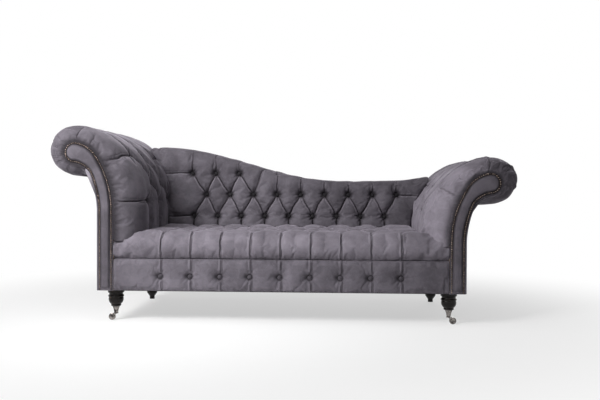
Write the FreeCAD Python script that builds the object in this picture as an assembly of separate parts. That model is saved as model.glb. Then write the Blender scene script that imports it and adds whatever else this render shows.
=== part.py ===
import FreeCAD, Part
import math
import os

os.makedirs("parts", exist_ok=True)
V = FreeCAD.Vector

# Main sizes in millimetres; X to the right, Y to the back, Z up from the floor
roll_reach = 1036.0          # seat middle to the centre of either arm roll
roll_radius = 121.0
left_roll_height = 850.0
right_roll_height = 704.0
body_depth = 859.0           # facing to the outside back
nail_dome = 3.0
nail_radius = 4.7
nail_pitch = 10.9
nail_inset = 8.0
rail_bottom = 157.0
rail_top = 290.0
seam_height = 315.0          # seam between front border and seat
seat_crown = 447.0
soft_gap = 3.0               # left between soft pieces that face each other

# The front plane of the facings, so that the origin is the middle of the depth
front = (nail_dome - body_depth) / 2.0
rear = front + body_depth

# Arm core, measured inward and upward from the centre of the roll
core_inner = 216.0
core_outer = 143.0
core_bend = -290.0           # where the straight part of the core starts to lean
inner_lean = (197.0, -160.0)
neck_top = (146.0, -46.0)
neck_rise = (90.0, 17.0)
head_top = (26.0, 39.0)
head_end = (-27.0, -13.0)
head_foot = (10.0, -66.0)
neck_under = (60.0, -79.0)
neck_foot = (101.0, -114.0)
outer_lean = (126.0, -185.0)

# Arm padding over the core: a rounded quarter curve from the roll top to the seat
pad_reach = 343.0
pad_rise = 361.0
pad_drop = -240.0            # height of the widest point, from the roll centre
pad_power = 1.8
pad_rim = 6.0                # padding left round the facing
roll_round = 110.0           # depth over which the roll rounds off to the facing
side_round = 150.0           # the same for the inner side
side_bend = 22.0             # where the steep part of that rounding ends
arm_rows = (-15.0, -145.0, -250.0)
arm_first_column = 215.0
arm_rear_margin = 6.0        # from the last column to the face of the back
round_stations = (0.0, 4.0, 14.0, 32.0, 65.0, 105.0, side_round)
plain_steps = (25.0, 75.0, 135.0)   # behind the last column, where the tufts fade out
tuft_depth = 32.0
shallow_dip = 4.0            # where a row passes between two buttons
arm_bottom_gap = 1.0
pad_tuck = 6.0               # the padding draws in this much where it meets the deck
upper_arm_rail = (70.0, 0.0, -45.0, 15.0)      # inner, outer, lower and upper side from the roll centre
lower_arm_rail = (170.0, 135.0, -150.0, -110.0)
neck_middle_drop = -88.0

# Panels and boards
facing_thick = 8.0
board_thick = 25.0
cover_thick = 7.0
cover_gap = 1.5              # between the outside arm cover and the padding of the roll
lining_thick = 6.0
back_panel_thick = 8.0
dust_thick = 1.5
dust_margin = 15.0
deck_thick = 2.0
strap_thick = 3.0

# Seat frame
rail_thick = 27.0
side_rail_thick = 32.0
cross_rail_width = 40.0
cross_rail_height = 85.0
cross_rail_places = (-270.0, 270.0)
block_size = (81.0, 70.0, 60.0)
frame_reach = roll_reach - core_inner     # half the width of the seat frame inside the arms
leg_inset = 210.0            # from the centre of the roll
leg_reach = roll_reach - leg_inset
front_leg_depth = 75.0
rear_leg_inset = 79.0        # from the outside back
rear_leg_depth = body_depth - rear_leg_inset
bolt_radius = 4.0
bolt_in_leg = 30.0
bolt_in_block = 40.0

# Back
frame_thick = 51.0           # depth of the timber in the back frame
frame_front = body_depth - back_panel_thick - frame_thick
back_pad_rear = frame_front - strap_thick
back_thick = 169.0
back_face = frame_front - back_thick      # depth of the back face at seat level
back_bend_height = 450.0
back_rake = math.radians(9.5)
back_high = 895.0
back_low = 700.0
fall_inset = 276.0           # the fall starts this far inside the left roll centre
fall_start = fall_inset - roll_reach
fall_end = 300.0
rise_inset = 196.0           # the rise ends this far inside the right roll centre
rise_end = roll_reach - rise_inset
rise_length = 280.0
rise_start = rise_end - rise_length
rise_height = 43.0
back_pitch = 137.0
back_end_inset = 156.0       # the padding starts this far inside the roll centres
end_stations = 4
back_rows = (507.0, 630.0, 752.0)
top_row_shift = -18.0        # the highest row stands a little to the left of the lattice
top_row_end = -260.0         # the highest row of buttons stops here
upper_fold_share = 0.6       # where there is no third row, its fold lies this far up to the shoulder
back_shoulder = 22.0         # below the crest
back_lip = 48.0              # the padding turns over the frame this far down
back_tuck = 20.0             # the face draws in this much where it meets the deck
shoulder_tuck = 6.0
crest_front = (24.0, 5.0)    # behind the face and below the crest
crest_middle = 62.0
crest_rear = (30.0, 6.0)     # before the panel and below the crest
crest_end = 30.0
top_rail_height = 70.0
rail_seat_gap = 0.8          # between the padding's lip and the top rail
rail_marks = 25
post_width = 45.0
strap_places = (350.0, 450.0, 545.0)
strap_width = 60.0
strap_margin = 53.0          # from the end of a strap to the arm padding
strap_reach = roll_reach - pad_reach - strap_margin
arm_rear_column = back_face - arm_rear_margin
arm_columns = (arm_first_column, (arm_first_column + arm_rear_column) / 2, arm_rear_column)
plain_stations = [arm_rear_column + step for step in plain_steps]

# Seat and border
seat_pitch = 147.0
seat_plain = roll_reach - pad_reach - soft_gap   # past this the seat falls away to the arms
seat_corner_drop = 50.0
seat_corner_depth = 60.0     # the seat keeps its full width this far back, under the arm padding
seat_corner_room = 6.0       # left above the corner
seat_end_gap = 2.0
seat_reach = frame_reach - seat_end_gap
border_gap = 2.0
border_reach = frame_reach - border_gap
seat_back_gap = 7.0
seat_rear = back_face - seat_back_gap
seat_first_row = 150.0
seat_last_margin = 99.0      # from the last row to the rear of the seat
seat_row_count = 4
seat_row_pitch = (seat_rear - seat_last_margin - seat_first_row) / (seat_row_count - 1)
seat_rows = [seat_first_row + seat_row_pitch * k for k in range(seat_row_count)]
seat_foot = 16.0             # the front draws in this much at the seam
seat_front_drop = 40.0       # where the front of the seat starts to round over
seat_front_tuck = 10.0
seat_edge = (34.0, 13.0)     # behind the facing plane and below the crown
seat_edge_end = 72.0
seat_back_round = ((22.0, 16.0), (4.0, 32.0), (0.0, 60.0))   # before the rear and below the crown
seat_back_fall = 2.0
seat_tuft = 34.0
seat_pleat = 13.0            # how far each pleat sinks into the front of the seat
border_button_height = 228.0
border_face = 3.0
border_swell = 2.0           # the face falls back this much above and below the buttons
border_tuft = 19.0
seam_half = 1.0              # half the slit between border and seat
panel_gap = 2.0              # left round the deck and behind the seat front

# Buttons
button_radius = 11.0
button_edge = 4.0
button_dome = 4.0
pocket_radius = 12.5
pocket_extra = 2.0
pocket_length = 90.0

# Springs
wire_radius = 2.0
spring_count = 8
spring_margin = 155.0        # from the outer springs to the arms
spring_pitch = 2 * (frame_reach - spring_margin) / (spring_count - 1)
spring_places = [spring_pitch * k - (frame_reach - spring_margin) for k in range(spring_count)]
spring_turn = 18.0           # radius of each turn of the wire
spring_swing = 12.0          # straight part either side of the middle
spring_passes = 18
clip_size = (16.0, 22.0, 6.0)

# Turned legs: radius of each turn and the heights where the turns end
flange_radius = 40.0
flange_foot = 140.0
groove_radius = 34.0
groove_foot = 127.0
ring_radius = 39.0
ring_foot = 117.0
bulb_radius = 36.5
bulb_height = 102.0
waist_radius = 23.0
waist_height = 80.0
bead_radius = 25.0
front_leg_foot = 70.0
tenon_radius = 13.0
tenon_length = 12.0
rear_knee_radius = 29.0
rear_knee_height = 36.0
rear_ankle_height = 16.0
rear_foot_radius = 14.5

# Casters
cup_bottom = 40.0
cup_top_radius = 17.0
cup_lip = 4.0
cup_waist_radius = 12.4
cup_waist_height = 52.0
cup_foot_radius = 10.5
pin_radius = 4.0
pin_head_radius = 6.5
pin_head_height = 5.0
pin_fit = 0.05
chamber_fit = 0.4
horn_gap = 0.3
crown_radius = 11.5
crown_height = 6.5
crown_neck_radius = 6.0
cheek_heel = 6.0
cheek_toe = 8.0
cheek_boss = 6.5
wheel_radius = 17.0
wheel_width = 13.0
wheel_trail = 20.0
wheel_edge = 2.5
cheek_thick = 3.0
cheek_gap = 0.8
axle_radius = 2.5
axle_head = 4.0
axle_head_thick = 1.5


def save(name, shape):
    shape.exportStep("parts/" + name + ".step")
    print(name, len(shape.Solids), shape.isValid(), round(shape.Volume))


def line(a, b):
    return Part.makeLine(a, b)


def arc(a, b, c):
    return Part.Arc(a, b, c).toShape()


def block(x0, x1, y0, y1, z0, z1):
    return Part.makeBox(x1 - x0, y1 - y0, z1 - z0, V(x0, y0, z0))


def blend(a, b, share):
    return (a[0] + (b[0] - a[0]) * share, a[1] + (b[1] - a[1]) * share)


def rounding(depth, radius):
    if depth >= radius:
        return 1.0
    return math.sqrt(1.0 - (1.0 - depth / radius) ** 2)


def dip_near(x, spots, half, depth):
    # deepest at a button and rounded on the way to the middle of the next fold
    share = 1.0 - min(1.0, *[abs(x - spot) / half for spot in spots])
    return max(shallow_dip, depth * (1.0 - math.sqrt(1.0 - share ** 2)))


def turned(profile, middle):
    # a solid turned about a vertical line from (radius, height) pairs; three-item entries are arcs
    edges = []
    for first, *rest in profile:
        points = [V(r, 0, z) for r, z in (first, *rest)]
        edges.append(arc(*points) if len(points) == 3 else line(*points))
    face = Part.Face(Part.Wire(edges))
    solid = face.revolve(V(0, 0, 0), V(0, 0, 1), 360)
    solid.translate(middle)
    return solid


# Arm core and padding curves
def arm_point(side, roll_height, place, depth):
    return V(side * (roll_reach - place[0]), depth, roll_height + place[1])


def core_wire(side, roll_height, depth):
    foot = rail_bottom - roll_height
    path = [
        ((core_inner, foot), (core_inner, core_bend)),
        ((core_inner, core_bend), inner_lean, neck_top),
        (neck_top, neck_rise, head_top),
        (head_top, head_end, head_foot),
        (head_foot, neck_under, neck_foot),
        (neck_foot, outer_lean, (core_outer, core_bend)),
        ((core_outer, core_bend), (core_outer, foot)),
        ((core_outer, foot), (core_inner, foot)),
    ]
    edges = []
    for step in path:
        points = [arm_point(side, roll_height, p, depth) for p in step]
        edges.append(arc(*points) if len(points) == 3 else line(*points))
    return Part.Wire(edges)


def core_prism(side, roll_height, start, end):
    face = Part.Face(core_wire(side, roll_height, front + start))
    return face.extrude(V(0, end - start, 0))


def pad_curve(up, grow=0.0):
    # inward reach of the padding at a height measured from the roll centre
    if up <= pad_drop:
        return pad_reach + grow
    share = min(1.0, (up - pad_drop) / (pad_rise + grow))
    return (pad_reach + grow) * (1.0 - share ** pad_power) ** (1.0 / pad_power)


def pad_point(up):
    return (pad_curve(up), up)


def pad_normal(up):
    if up <= pad_drop:
        return (1.0, 0.0)
    across = (pad_curve(up) / pad_reach) ** (pad_power - 1.0) / pad_reach
    rising = ((up - pad_drop) / pad_rise) ** (pad_power - 1.0) / pad_rise
    size = math.hypot(across, rising)
    return (across / size, rising / size)


def sunk(up, depth):
    normal = pad_normal(up)
    return (pad_curve(up) - depth * normal[0], up - depth * normal[1])


# Arm padding as a loft from the facing to the rear
roll_slant = roll_radius * math.sqrt(0.5)
shoulder_up = 88.0
facing_marks = [              # edge of the facing grown by the rim, same order as the full outline
    (99.0, -121.0), (58.0, -87.0), (10.0, -72.0), (-13.0, -58.0), (-33.0, -13.0), (-17.0, 24.0),
    (26.0, 45.0), (95.0, 22.0), (127.0, -11.0), (172.0, -80.0), (198.0, -145.0), (211.0, -197.0),
    (220.0, -250.0),
]
under_start = (96.0, -127.0)
under_middle = (45.0, -125.0)
under_end = (-5.0, -roll_radius)


def arm_section(side, roll_height, depth, dips):
    deck = rail_top + clip_size[2] + deck_thick + arm_bottom_gap - roll_height
    roll_fill = rounding(depth, roll_round)
    side_fill = rounding(depth, side_round)
    rows = [sunk(up, dip) for up, dip in zip(arm_rows, dips)]
    full = [
        under_start, under_middle, under_end, (-roll_slant, -roll_slant), (-roll_radius, 0.0),
        (-roll_slant, roll_slant), (0.0, roll_radius), pad_point(shoulder_up), rows[0],
        pad_point((arm_rows[0] + arm_rows[1]) / 2), rows[1],
        pad_point((arm_rows[1] + arm_rows[2]) / 2), rows[2],
    ]
    marks = []
    for number, (near, far) in enumerate(zip(facing_marks, full)):
        marks.append(blend(near, far, roll_fill if number < 7 else side_fill))
    low = blend((core_inner + pad_rim - pad_tuck, deck), (pad_reach - pad_tuck, deck), side_fill)
    low_middle = blend((core_inner + pad_rim, (deck + arm_rows[2]) / 2),
                       (pad_reach, (deck + arm_rows[2]) / 2), side_fill)
    marks += [low_middle, low]
    inside = (core_inner + core_outer) / 2
    closing = [(inside, deck), (inside, core_bend), ((neck_top[0] + neck_foot[0]) / 2, neck_middle_drop)]
    at = [arm_point(side, roll_height, p, front + depth) for p in marks]
    back = [arm_point(side, roll_height, p, front + depth) for p in closing]
    edges = [arc(at[k], at[k + 1], at[k + 2]) for k in range(0, len(at) - 2, 2)]
    edges.append(line(at[-1], back[0]))
    edges.append(line(back[0], back[1]))
    edges.append(line(back[1], back[2]))
    edges.append(line(back[2], at[0]))
    return Part.Wire(edges)


def arm_button_places(rows_used):
    places = []
    for number in rows_used:
        if number == 1:
            spots = [(a + b) / 2 for a, b in zip(arm_columns, arm_columns[1:])]
        else:
            spots = arm_columns
        places += [(arm_rows[number], spot) for spot in spots]
    return places


def button_at(point, normal):
    edge = Part.makeCylinder(button_radius, button_edge)
    ball = (button_radius ** 2 + button_dome ** 2) / (2 * button_dome)
    cap = Part.makeSphere(ball, V(0, 0, 0), V(0, 0, 1),
                          math.degrees(math.asin((ball - button_dome) / ball)), 90, 360)
    cap.translate(V(0, 0, button_edge - (ball - button_dome)))
    button = edge.fuse(cap).removeSplitter()
    button.Placement = FreeCAD.Placement(point, FreeCAD.Rotation(V(0, 0, 1), normal))
    return button


def pocket_at(point, normal):
    return Part.makeCylinder(pocket_radius, pocket_length, point, normal)


def make_arm(name, side, roll_height, rows_used):
    places = arm_button_places(rows_used)
    halves = [(a + b) / 2 for a, b in zip(arm_columns, arm_columns[1:])]

    def sections(stations):
        wires = []
        for depth in stations:
            dips = [tuft_depth if (up, depth) in places else 0.0 for up in arm_rows]
            if arm_columns[-1] < depth < plain_stations[-1]:
                easing = (plain_stations[-1] - depth) / (plain_stations[-1] - arm_columns[-1])
                fading = tuft_depth * easing ** 2
                dips = [fading if (up, arm_columns[-1]) in places else 0.0 for up in arm_rows]
            wires.append(arm_section(side, roll_height, depth, dips))
        return wires

    rounded = Part.makeLoft(sections((*round_stations, arm_columns[0])), True, True)
    tufted = Part.makeLoft(sections(sorted([*arm_columns, *halves])), True, False)
    panel = body_depth - back_panel_thick
    plain = Part.makeLoft(sections((arm_columns[-1], *plain_stations, panel)), True, True)
    pad = rounded.multiFuse([tufted, plain])
    pad = pad.cut(core_prism(side, roll_height, -1.0, body_depth))
    pad = pad.cut(seat_corner_space(side))
    buttons = []
    pockets = []
    for up, depth in places:
        across, rising = pad_normal(up)
        normal = V(-side * across, 0, rising)
        seat = arm_point(side, roll_height, sunk(up, tuft_depth + pocket_extra), front + depth)
        buttons.append(button_at(seat, normal))
        pockets.append(pocket_at(seat, normal))
    pad = pad.cut(Part.makeCompound(pockets))
    save(name + "_arm_pad", pad)
    save(name + "_arm_buttons", Part.makeCompound(buttons))


def make_arm_frame(name, side, roll_height):
    save(name + "_arm_facing", core_prism(side, roll_height, 0.0, facing_thick))
    board_end = facing_thick + board_thick
    save(name + "_arm_front_board", core_prism(side, roll_height, facing_thick, board_end))
    rear_start = body_depth - back_panel_thick - board_thick
    save(name + "_arm_rear_board", core_prism(side, roll_height, rear_start, rear_start + board_thick))
    rails = []
    for inner, outer, low, high in (upper_arm_rail, lower_arm_rail):
        a = arm_point(side, roll_height, (inner, low), front + board_end)
        b = arm_point(side, roll_height, (outer, high), front + rear_start)
        rails.append(block(min(a.x, b.x), max(a.x, b.x), a.y, b.y, a.z, b.z))
    save(name + "_arm_rails", Part.makeCompound(rails))
    a = arm_point(side, roll_height, (core_inner, 0), front + board_end)
    b = arm_point(side, roll_height, (core_inner - lining_thick, core_bend), front + rear_start)
    low = rail_top + clip_size[2] + deck_thick
    save(name + "_arm_lining", block(min(a.x, b.x), max(a.x, b.x), a.y, b.y, low, b.z))


def make_nails(name, side, roll_height):
    outline = core_wire(side, roll_height, front)
    inset = outline.makeOffset2D(-nail_inset)
    kept = [e for e in inset.Edges if e.BoundBox.ZMax > rail_bottom + nail_inset + 1.0]
    path = Part.Wire(Part.__sortEdges__(kept))
    ball = (nail_radius ** 2 + nail_dome ** 2) / (2 * nail_dome)
    dome = Part.makeSphere(ball, V(0, 0, 0), V(0, 0, 1),
                           math.degrees(math.asin((ball - nail_dome) / ball)), 90, 360)
    dome.translate(V(0, 0, nail_dome - ball))
    dome.rotate(V(0, 0, 0), V(1, 0, 0), 90)
    nails = []
    for spot in path.discretize(Number=int(path.Length / nail_pitch) + 1):
        nail = dome.copy()
        nail.translate(spot)
        nails.append(nail)
    save(name + "_arm_nails", Part.makeCompound(nails))


def make_outside_arm(name, side, roll_height):
    foot = rail_bottom - roll_height
    grow = cover_thick
    inner = [neck_foot, outer_lean, (core_outer, core_bend), (core_outer, foot)]
    outer = [(neck_foot[0] - grow * 0.8, neck_foot[1] - grow * 0.6), (outer_lean[0] - grow, outer_lean[1]),
             (core_outer - grow, core_bend), (core_outer - grow, foot)]
    a = [arm_point(side, roll_height, p, front) for p in inner]
    b = [arm_point(side, roll_height, p, front) for p in outer]
    wire = Part.Wire([arc(a[0], a[1], a[2]), line(a[2], a[3]), line(a[3], b[3]), line(b[3], b[2]),
                      arc(b[2], b[1], b[0]), line(b[0], a[0])])
    panel = Part.Face(wire).extrude(V(0, body_depth - back_panel_thick, 0))
    # the cover stops just under the padding of the roll
    stop = roll_height + under_start[1] - cover_gap
    above = Part.makeBox(2 * roll_reach, 2 * body_depth, roll_height, V(-roll_reach, -body_depth, stop))
    above.translate(V(side * roll_reach, 0, 0))
    save(name + "_outside_arm", panel.cut(above))


# Back
def back_top(x):
    share = min(1.0, max(0.0, (x - fall_start) / (fall_end - fall_start)))
    height = back_high - (back_high - back_low) * (1.0 - math.cos(math.pi * share)) / 2
    if x > rise_start:
        height += rise_height * ((x - rise_start) / (rise_end - rise_start)) ** 2
    return height


def back_front(z):
    return back_face + max(0.0, z - back_bend_height) * math.tan(back_rake)


def back_places():
    half = back_pitch / 2
    bottom = [(half * k, back_rows[0]) for k in range(-8, 9, 2)]
    middle = [(half * k, back_rows[1]) for k in range(-7, 10, 2)]
    top = [(half * k + top_row_shift, back_rows[2]) for k in range(-8, -3, 2)]
    return bottom + middle + top


def back_section(x, dips):
    low = rail_top + clip_size[2] + deck_thick + arm_bottom_gap
    crest = back_top(x)
    shoulder = crest - back_shoulder
    upper_fold = back_rows[1] + upper_fold_share * (shoulder - back_rows[1])
    third = back_rows[2] if x < top_row_end else min(back_rows[2], upper_fold)
    heights = (back_rows[0], back_rows[1], third)
    rows = [(back_front(z) + dip * math.cos(back_rake), z - dip * math.sin(back_rake))
            for z, dip in zip(heights, dips)]
    low_middle = (low + rows[0][1]) / 2
    marks = [(back_front(low) + back_tuck, low), (back_front(low_middle), low_middle), rows[0]]
    for number, top in ((1, heights[1]), (2, third)):
        between = (heights[number - 1] + top) / 2
        marks += [(back_front(between), between), rows[number]]
    between = (third + shoulder) / 2
    edge = back_front(shoulder)
    marks += [(back_front(between), between), (edge + shoulder_tuck, shoulder)]
    marks += [(edge + crest_front[0], crest - crest_front[1]), (edge + crest_middle, crest)]
    panel = body_depth - back_panel_thick
    marks += [(panel - crest_rear[0], crest - crest_rear[1]), (panel, crest - crest_end)]
    at = [V(x, front + y, z) for y, z in marks]
    ends = [(panel, crest - back_lip), (back_pad_rear, crest - back_lip), (back_pad_rear, low)]
    tail = [V(x, front + y, z) for y, z in ends]
    edges = [arc(at[k], at[k + 1], at[k + 2]) for k in range(0, len(at) - 2, 2)]
    edges.append(line(at[-1], tail[0]))
    edges.append(line(tail[0], tail[1]))
    edges.append(line(tail[1], tail[2]))
    edges.append(line(tail[2], at[0]))
    return Part.Wire(edges)


def end_spots(limit, start):
    # from the end of a pad to its first tufted station, which isn't repeated
    return [limit + (start - limit) * k / end_stations for k in range(end_stations)]


def arm_clearance(side, roll_height):
    # the whole arm outline grown by the soft gap, as a straight prism along the depth
    low = rail_bottom - roll_height
    heights = [pad_drop, -150.0, -60.0, 20.0, 70.0, 105.0]
    marks = [(pad_curve(up, soft_gap), up) for up in heights] + [(0.0, roll_radius + soft_gap)]
    at = [arm_point(side, roll_height, p, front) for p in marks]
    far = arm_point(side, roll_height, (-roll_radius - soft_gap, roll_radius + soft_gap), front)
    foot_far = arm_point(side, roll_height, (-roll_radius - soft_gap, low), front)
    foot_near = arm_point(side, roll_height, (pad_reach + soft_gap, low), front)
    edges = [arc(at[0], at[1], at[2]), arc(at[2], at[3], at[4]), arc(at[4], at[5], at[6]), line(at[6], far),
             line(far, foot_far), line(foot_far, foot_near), line(foot_near, at[0])]
    return Part.Face(Part.Wire(edges)).extrude(V(0, body_depth, 0))


def make_back():
    half = back_pitch / 2
    places = back_places()
    tufted = [half * k / 2 for k in range(-17, 20)]
    reach = roll_reach - back_end_inset
    stations = [*end_spots(-reach, tufted[0]), *tufted, *reversed(end_spots(reach, tufted[-1]))]
    wires = []
    for x in stations:
        columns = [[spot for spot, row in places if row == z] for z in back_rows]
        wires.append(back_section(x, [dip_near(x, spots, half, tuft_depth) for spots in columns]))
    pad = Part.makeLoft(wires, True, True)
    pad = pad.cut(arm_clearance(-1, left_roll_height)).cut(arm_clearance(1, right_roll_height))
    buttons = []
    pockets = []
    normal = V(0, -math.cos(back_rake), math.sin(back_rake))
    sink = tuft_depth + pocket_extra
    for x, z in places:
        seat = V(x, front + back_front(z) + sink * math.cos(back_rake), z - sink * math.sin(back_rake))
        buttons.append(button_at(seat, normal))
        pockets.append(pocket_at(seat, normal))
    pad = pad.cut(Part.makeCompound(pockets))
    save("back_pad", pad)
    save("back_buttons", Part.makeCompound(buttons))


def make_back_frame():
    reach = roll_reach - pad_reach - soft_gap
    panel = body_depth - back_panel_thick
    spots = [-reach + 2 * reach * k / (rail_marks - 1) for k in range(rail_marks)]
    upper = [V(x, front + frame_front, back_top(x) - back_lip - rail_seat_gap) for x in spots]
    lower = [p - V(0, 0, top_rail_height) for p in upper]
    top_edge = Part.BSplineCurve()
    top_edge.interpolate(upper)
    low_edge = Part.BSplineCurve()
    low_edge.interpolate(lower)
    ends = [line(upper[-1], lower[-1]), line(lower[0], upper[0])]
    wire = Part.Wire([top_edge.toShape(), ends[0], low_edge.toShape(), ends[1]])
    rail = Part.Face(wire).extrude(V(0, panel - frame_front, 0))
    save("back_top_rail", rail)
    posts = []
    # a post stands midway between every second pair of springs
    for x in [(a + b) / 2 for a, b in zip(spring_places[::2], spring_places[1::2])]:
        high = back_top(x) - back_lip - rail_seat_gap - top_rail_height / 2
        left = x - post_width / 2
        post = block(left, left + post_width, front + frame_front, front + panel, rail_top, high)
        posts.append(post.cut(rail))
    save("back_posts", Part.makeCompound(posts))
    straps = []
    start = front + back_pad_rear
    for z in strap_places:
        straps.append(block(-strap_reach, strap_reach, start, start + strap_thick, z, z + strap_width))
    save("back_webbing", Part.makeCompound(straps))


def make_outside_back():
    start = front + body_depth - back_panel_thick
    shapes = []
    for side, roll_height in ((-1, left_roll_height), (1, right_roll_height)):
        outline = arm_section(side, roll_height, body_depth - back_panel_thick, (0.0, 0.0, 0.0))
        shapes.append(Part.Face(outline).extrude(V(0, back_panel_thick, 0)))
        shapes.append(core_prism(side, roll_height, body_depth - back_panel_thick, body_depth))
    reach = frame_reach
    spots = [-reach + 2 * reach * k / (rail_marks - 1) for k in range(rail_marks)]
    top_edge = Part.BSplineCurve()
    top_edge.interpolate([V(x, start, back_top(x) - back_shoulder) for x in spots])
    ends = [V(reach, start, rail_bottom), V(-reach, start, rail_bottom)]
    first = V(-reach, start, back_top(-reach) - back_shoulder)
    last = V(reach, start, back_top(reach) - back_shoulder)
    wire = Part.Wire([top_edge.toShape(), line(last, ends[0]), line(ends[0], ends[1]), line(ends[1], first)])
    sheet = Part.Face(wire).extrude(V(0, back_panel_thick, 0))
    save("outside_back", sheet.multiFuse(shapes).removeSplitter())


# Seat and front border
def seat_section(x, dips, drop, pleat):
    low = rail_top + clip_size[2] + deck_thick
    step = facing_thick + board_thick + panel_gap
    crown = seat_crown - drop
    seam = seam_height + seam_half
    rows = [(y, crown - dip) for y, dip in zip(seat_rows, dips)]
    shoulder = crown - seat_front_drop
    marks = [(seat_foot, seam), (pleat - seam_half, (seam + shoulder) / 2), (seat_front_tuck + pleat, shoulder)]
    marks += [(seat_edge[0] + pleat, crown - seat_edge[1] - pleat), (seat_edge_end, crown - pleat / 2)]
    marks += [((seat_edge_end + seat_rows[0]) / 2, crown - pleat / 2), rows[0]]
    for first, second, row in zip(seat_rows, seat_rows[1:], rows[1:]):
        marks += [((first + second) / 2, crown), row]
    marks += [((seat_rows[-1] + seat_rear) / 2, crown - seat_back_fall)]
    marks += [(seat_rear - before, crown - below) for before, below in seat_back_round]
    at = [V(x, front + y, z) for y, z in marks]
    ends = [(seat_rear, low), (step, low), (step, seam)]
    tail = [V(x, front + y, z) for y, z in ends]
    edges = [arc(at[k], at[k + 1], at[k + 2]) for k in range(0, len(at) - 2, 2)]
    edges.append(line(at[-1], tail[0]))
    edges.append(line(tail[0], tail[1]))
    edges.append(line(tail[1], tail[2]))
    edges.append(line(tail[2], at[0]))
    return Part.Wire(edges)


def seat_places():
    half = seat_pitch / 2
    places = []
    for number, y in enumerate(seat_rows):
        columns = range(-8, 9, 2) if number % 2 == 0 else range(-7, 8, 2)
        places += [(half * k, y) for k in columns]
    return places


def seat_corner_fall(x):
    return seat_corner_drop * (max(0.0, abs(x) - seat_plain) / (seat_reach - seat_plain)) ** 2


def seat_corner_space(side):
    # the border and the seat's front corner run on to the facing, below the arm padding
    rear = seat_corner_depth + soft_gap
    wires = []
    for x in (pad_reach, seat_plain, (seat_plain + seat_reach) / 2, seat_reach, roll_reach - core_outer):
        crown = seat_crown - seat_corner_fall(min(x, seat_reach)) + seat_corner_room
        marks = [(-side_bend, 0.0), (-side_bend, crown - seat_front_drop), (seat_front_tuck / 2, crown - seat_front_drop),
                 (seat_edge[0], crown - seat_edge[1]), (rear, crown), (rear, 0.0)]
        wires.append(Part.makePolygon([V(side * x, front + y, z) for y, z in [*marks, marks[0]]]))
    return Part.makeLoft(wires, True, True)


def seat_side_cut(side):
    # plan outline of the arm padding behind the seat's front corner, grown by the soft gap
    def edge(depth):
        fill = rounding(depth, side_round)
        across = core_inner + pad_rim + (pad_reach - core_inner - pad_rim) * fill
        return V(side * (roll_reach - across - soft_gap), front + depth, 0)
    far = side * roll_reach
    lead = V(side * frame_reach, front - side_bend, 0)
    shelf = V(side * frame_reach, front + seat_corner_depth, 0)
    tail = V(edge(side_round).x, front + body_depth, 0)
    start, bend, end = (edge(spot) for spot in (seat_corner_depth, (seat_corner_depth + side_round) / 2, side_round))
    corners = [end, tail, V(far, tail.y, 0), V(far, lead.y, 0), lead, shelf, start]
    edges = [arc(start, bend, end)]
    edges += [line(a, b) for a, b in zip(corners, corners[1:])]
    return Part.Face(Part.Wire(edges)).extrude(V(0, 0, seat_crown * 2))


def make_seat():
    half = seat_pitch / 2
    places = seat_places()
    tufted = [half * k / 2 for k in range(-18, 19)]
    stations = [*end_spots(-seat_reach, tufted[0]), *tufted, *reversed(end_spots(seat_reach, tufted[-1]))]
    wires = []
    for x in stations:
        columns = [[spot for spot, row in places if row == y] for y in seat_rows]
        dips = [dip_near(x, spots, half, seat_tuft) for spots in columns]
        pleat = dip_near(x, columns[0], half, seat_pleat) - shallow_dip
        wires.append(seat_section(x, dips, seat_corner_fall(x), pleat))
    pad = Part.makeLoft(wires, True, True)
    pad = pad.cut(seat_side_cut(-1)).cut(seat_side_cut(1))
    buttons = []
    pockets = []
    for x, y in places:
        seat = V(x, front + y, seat_crown - seat_tuft - pocket_extra)
        buttons.append(button_at(seat, V(0, 0, 1)))
        pockets.append(pocket_at(seat, V(0, 0, 1)))
    pad = pad.cut(Part.makeCompound(pockets))
    save("seat_pad", pad)
    save("seat_buttons", Part.makeCompound(buttons))


def border_section(x, dip):
    top = seam_height - seam_half
    backing = facing_thick + board_thick
    middle = border_button_height
    swell = border_face + border_swell + dip / 2
    marks = [(seat_foot, rail_bottom), (swell, (rail_bottom + middle) / 2), (border_face + dip, middle),
             (swell, (top + middle) / 2), (seat_foot, top)]
    at = [V(x, front + y, z) for y, z in marks]
    edges = [arc(at[0], at[1], at[2]), arc(at[2], at[3], at[4])]
    corner = [V(x, front + backing, top), V(x, front + backing, rail_bottom)]
    edges += [line(at[4], corner[0]), line(corner[0], corner[1]), line(corner[1], at[0])]
    return Part.Wire(edges)


def make_border():
    half = seat_pitch / 2
    columns = [half * k for k in range(-8, 9, 2)]
    tufted = [half * k / 2 for k in range(-20, 21)]
    stations = [-border_reach, *tufted, border_reach]
    wires = [border_section(x, dip_near(x, columns, half, border_tuft) - shallow_dip) for x in stations]
    pad = Part.makeLoft(wires, True, True)
    buttons = []
    pockets = []
    for x in columns:
        sink = border_tuft - shallow_dip + pocket_extra
        seat = V(x, front + border_face + sink, border_button_height)
        buttons.append(button_at(seat, V(0, -1, 0)))
        pockets.append(pocket_at(seat, V(0, -1, 0)))
    pad = pad.cut(Part.makeCompound(pockets))
    save("front_border", pad)
    save("border_buttons", Part.makeCompound(buttons))


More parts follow.
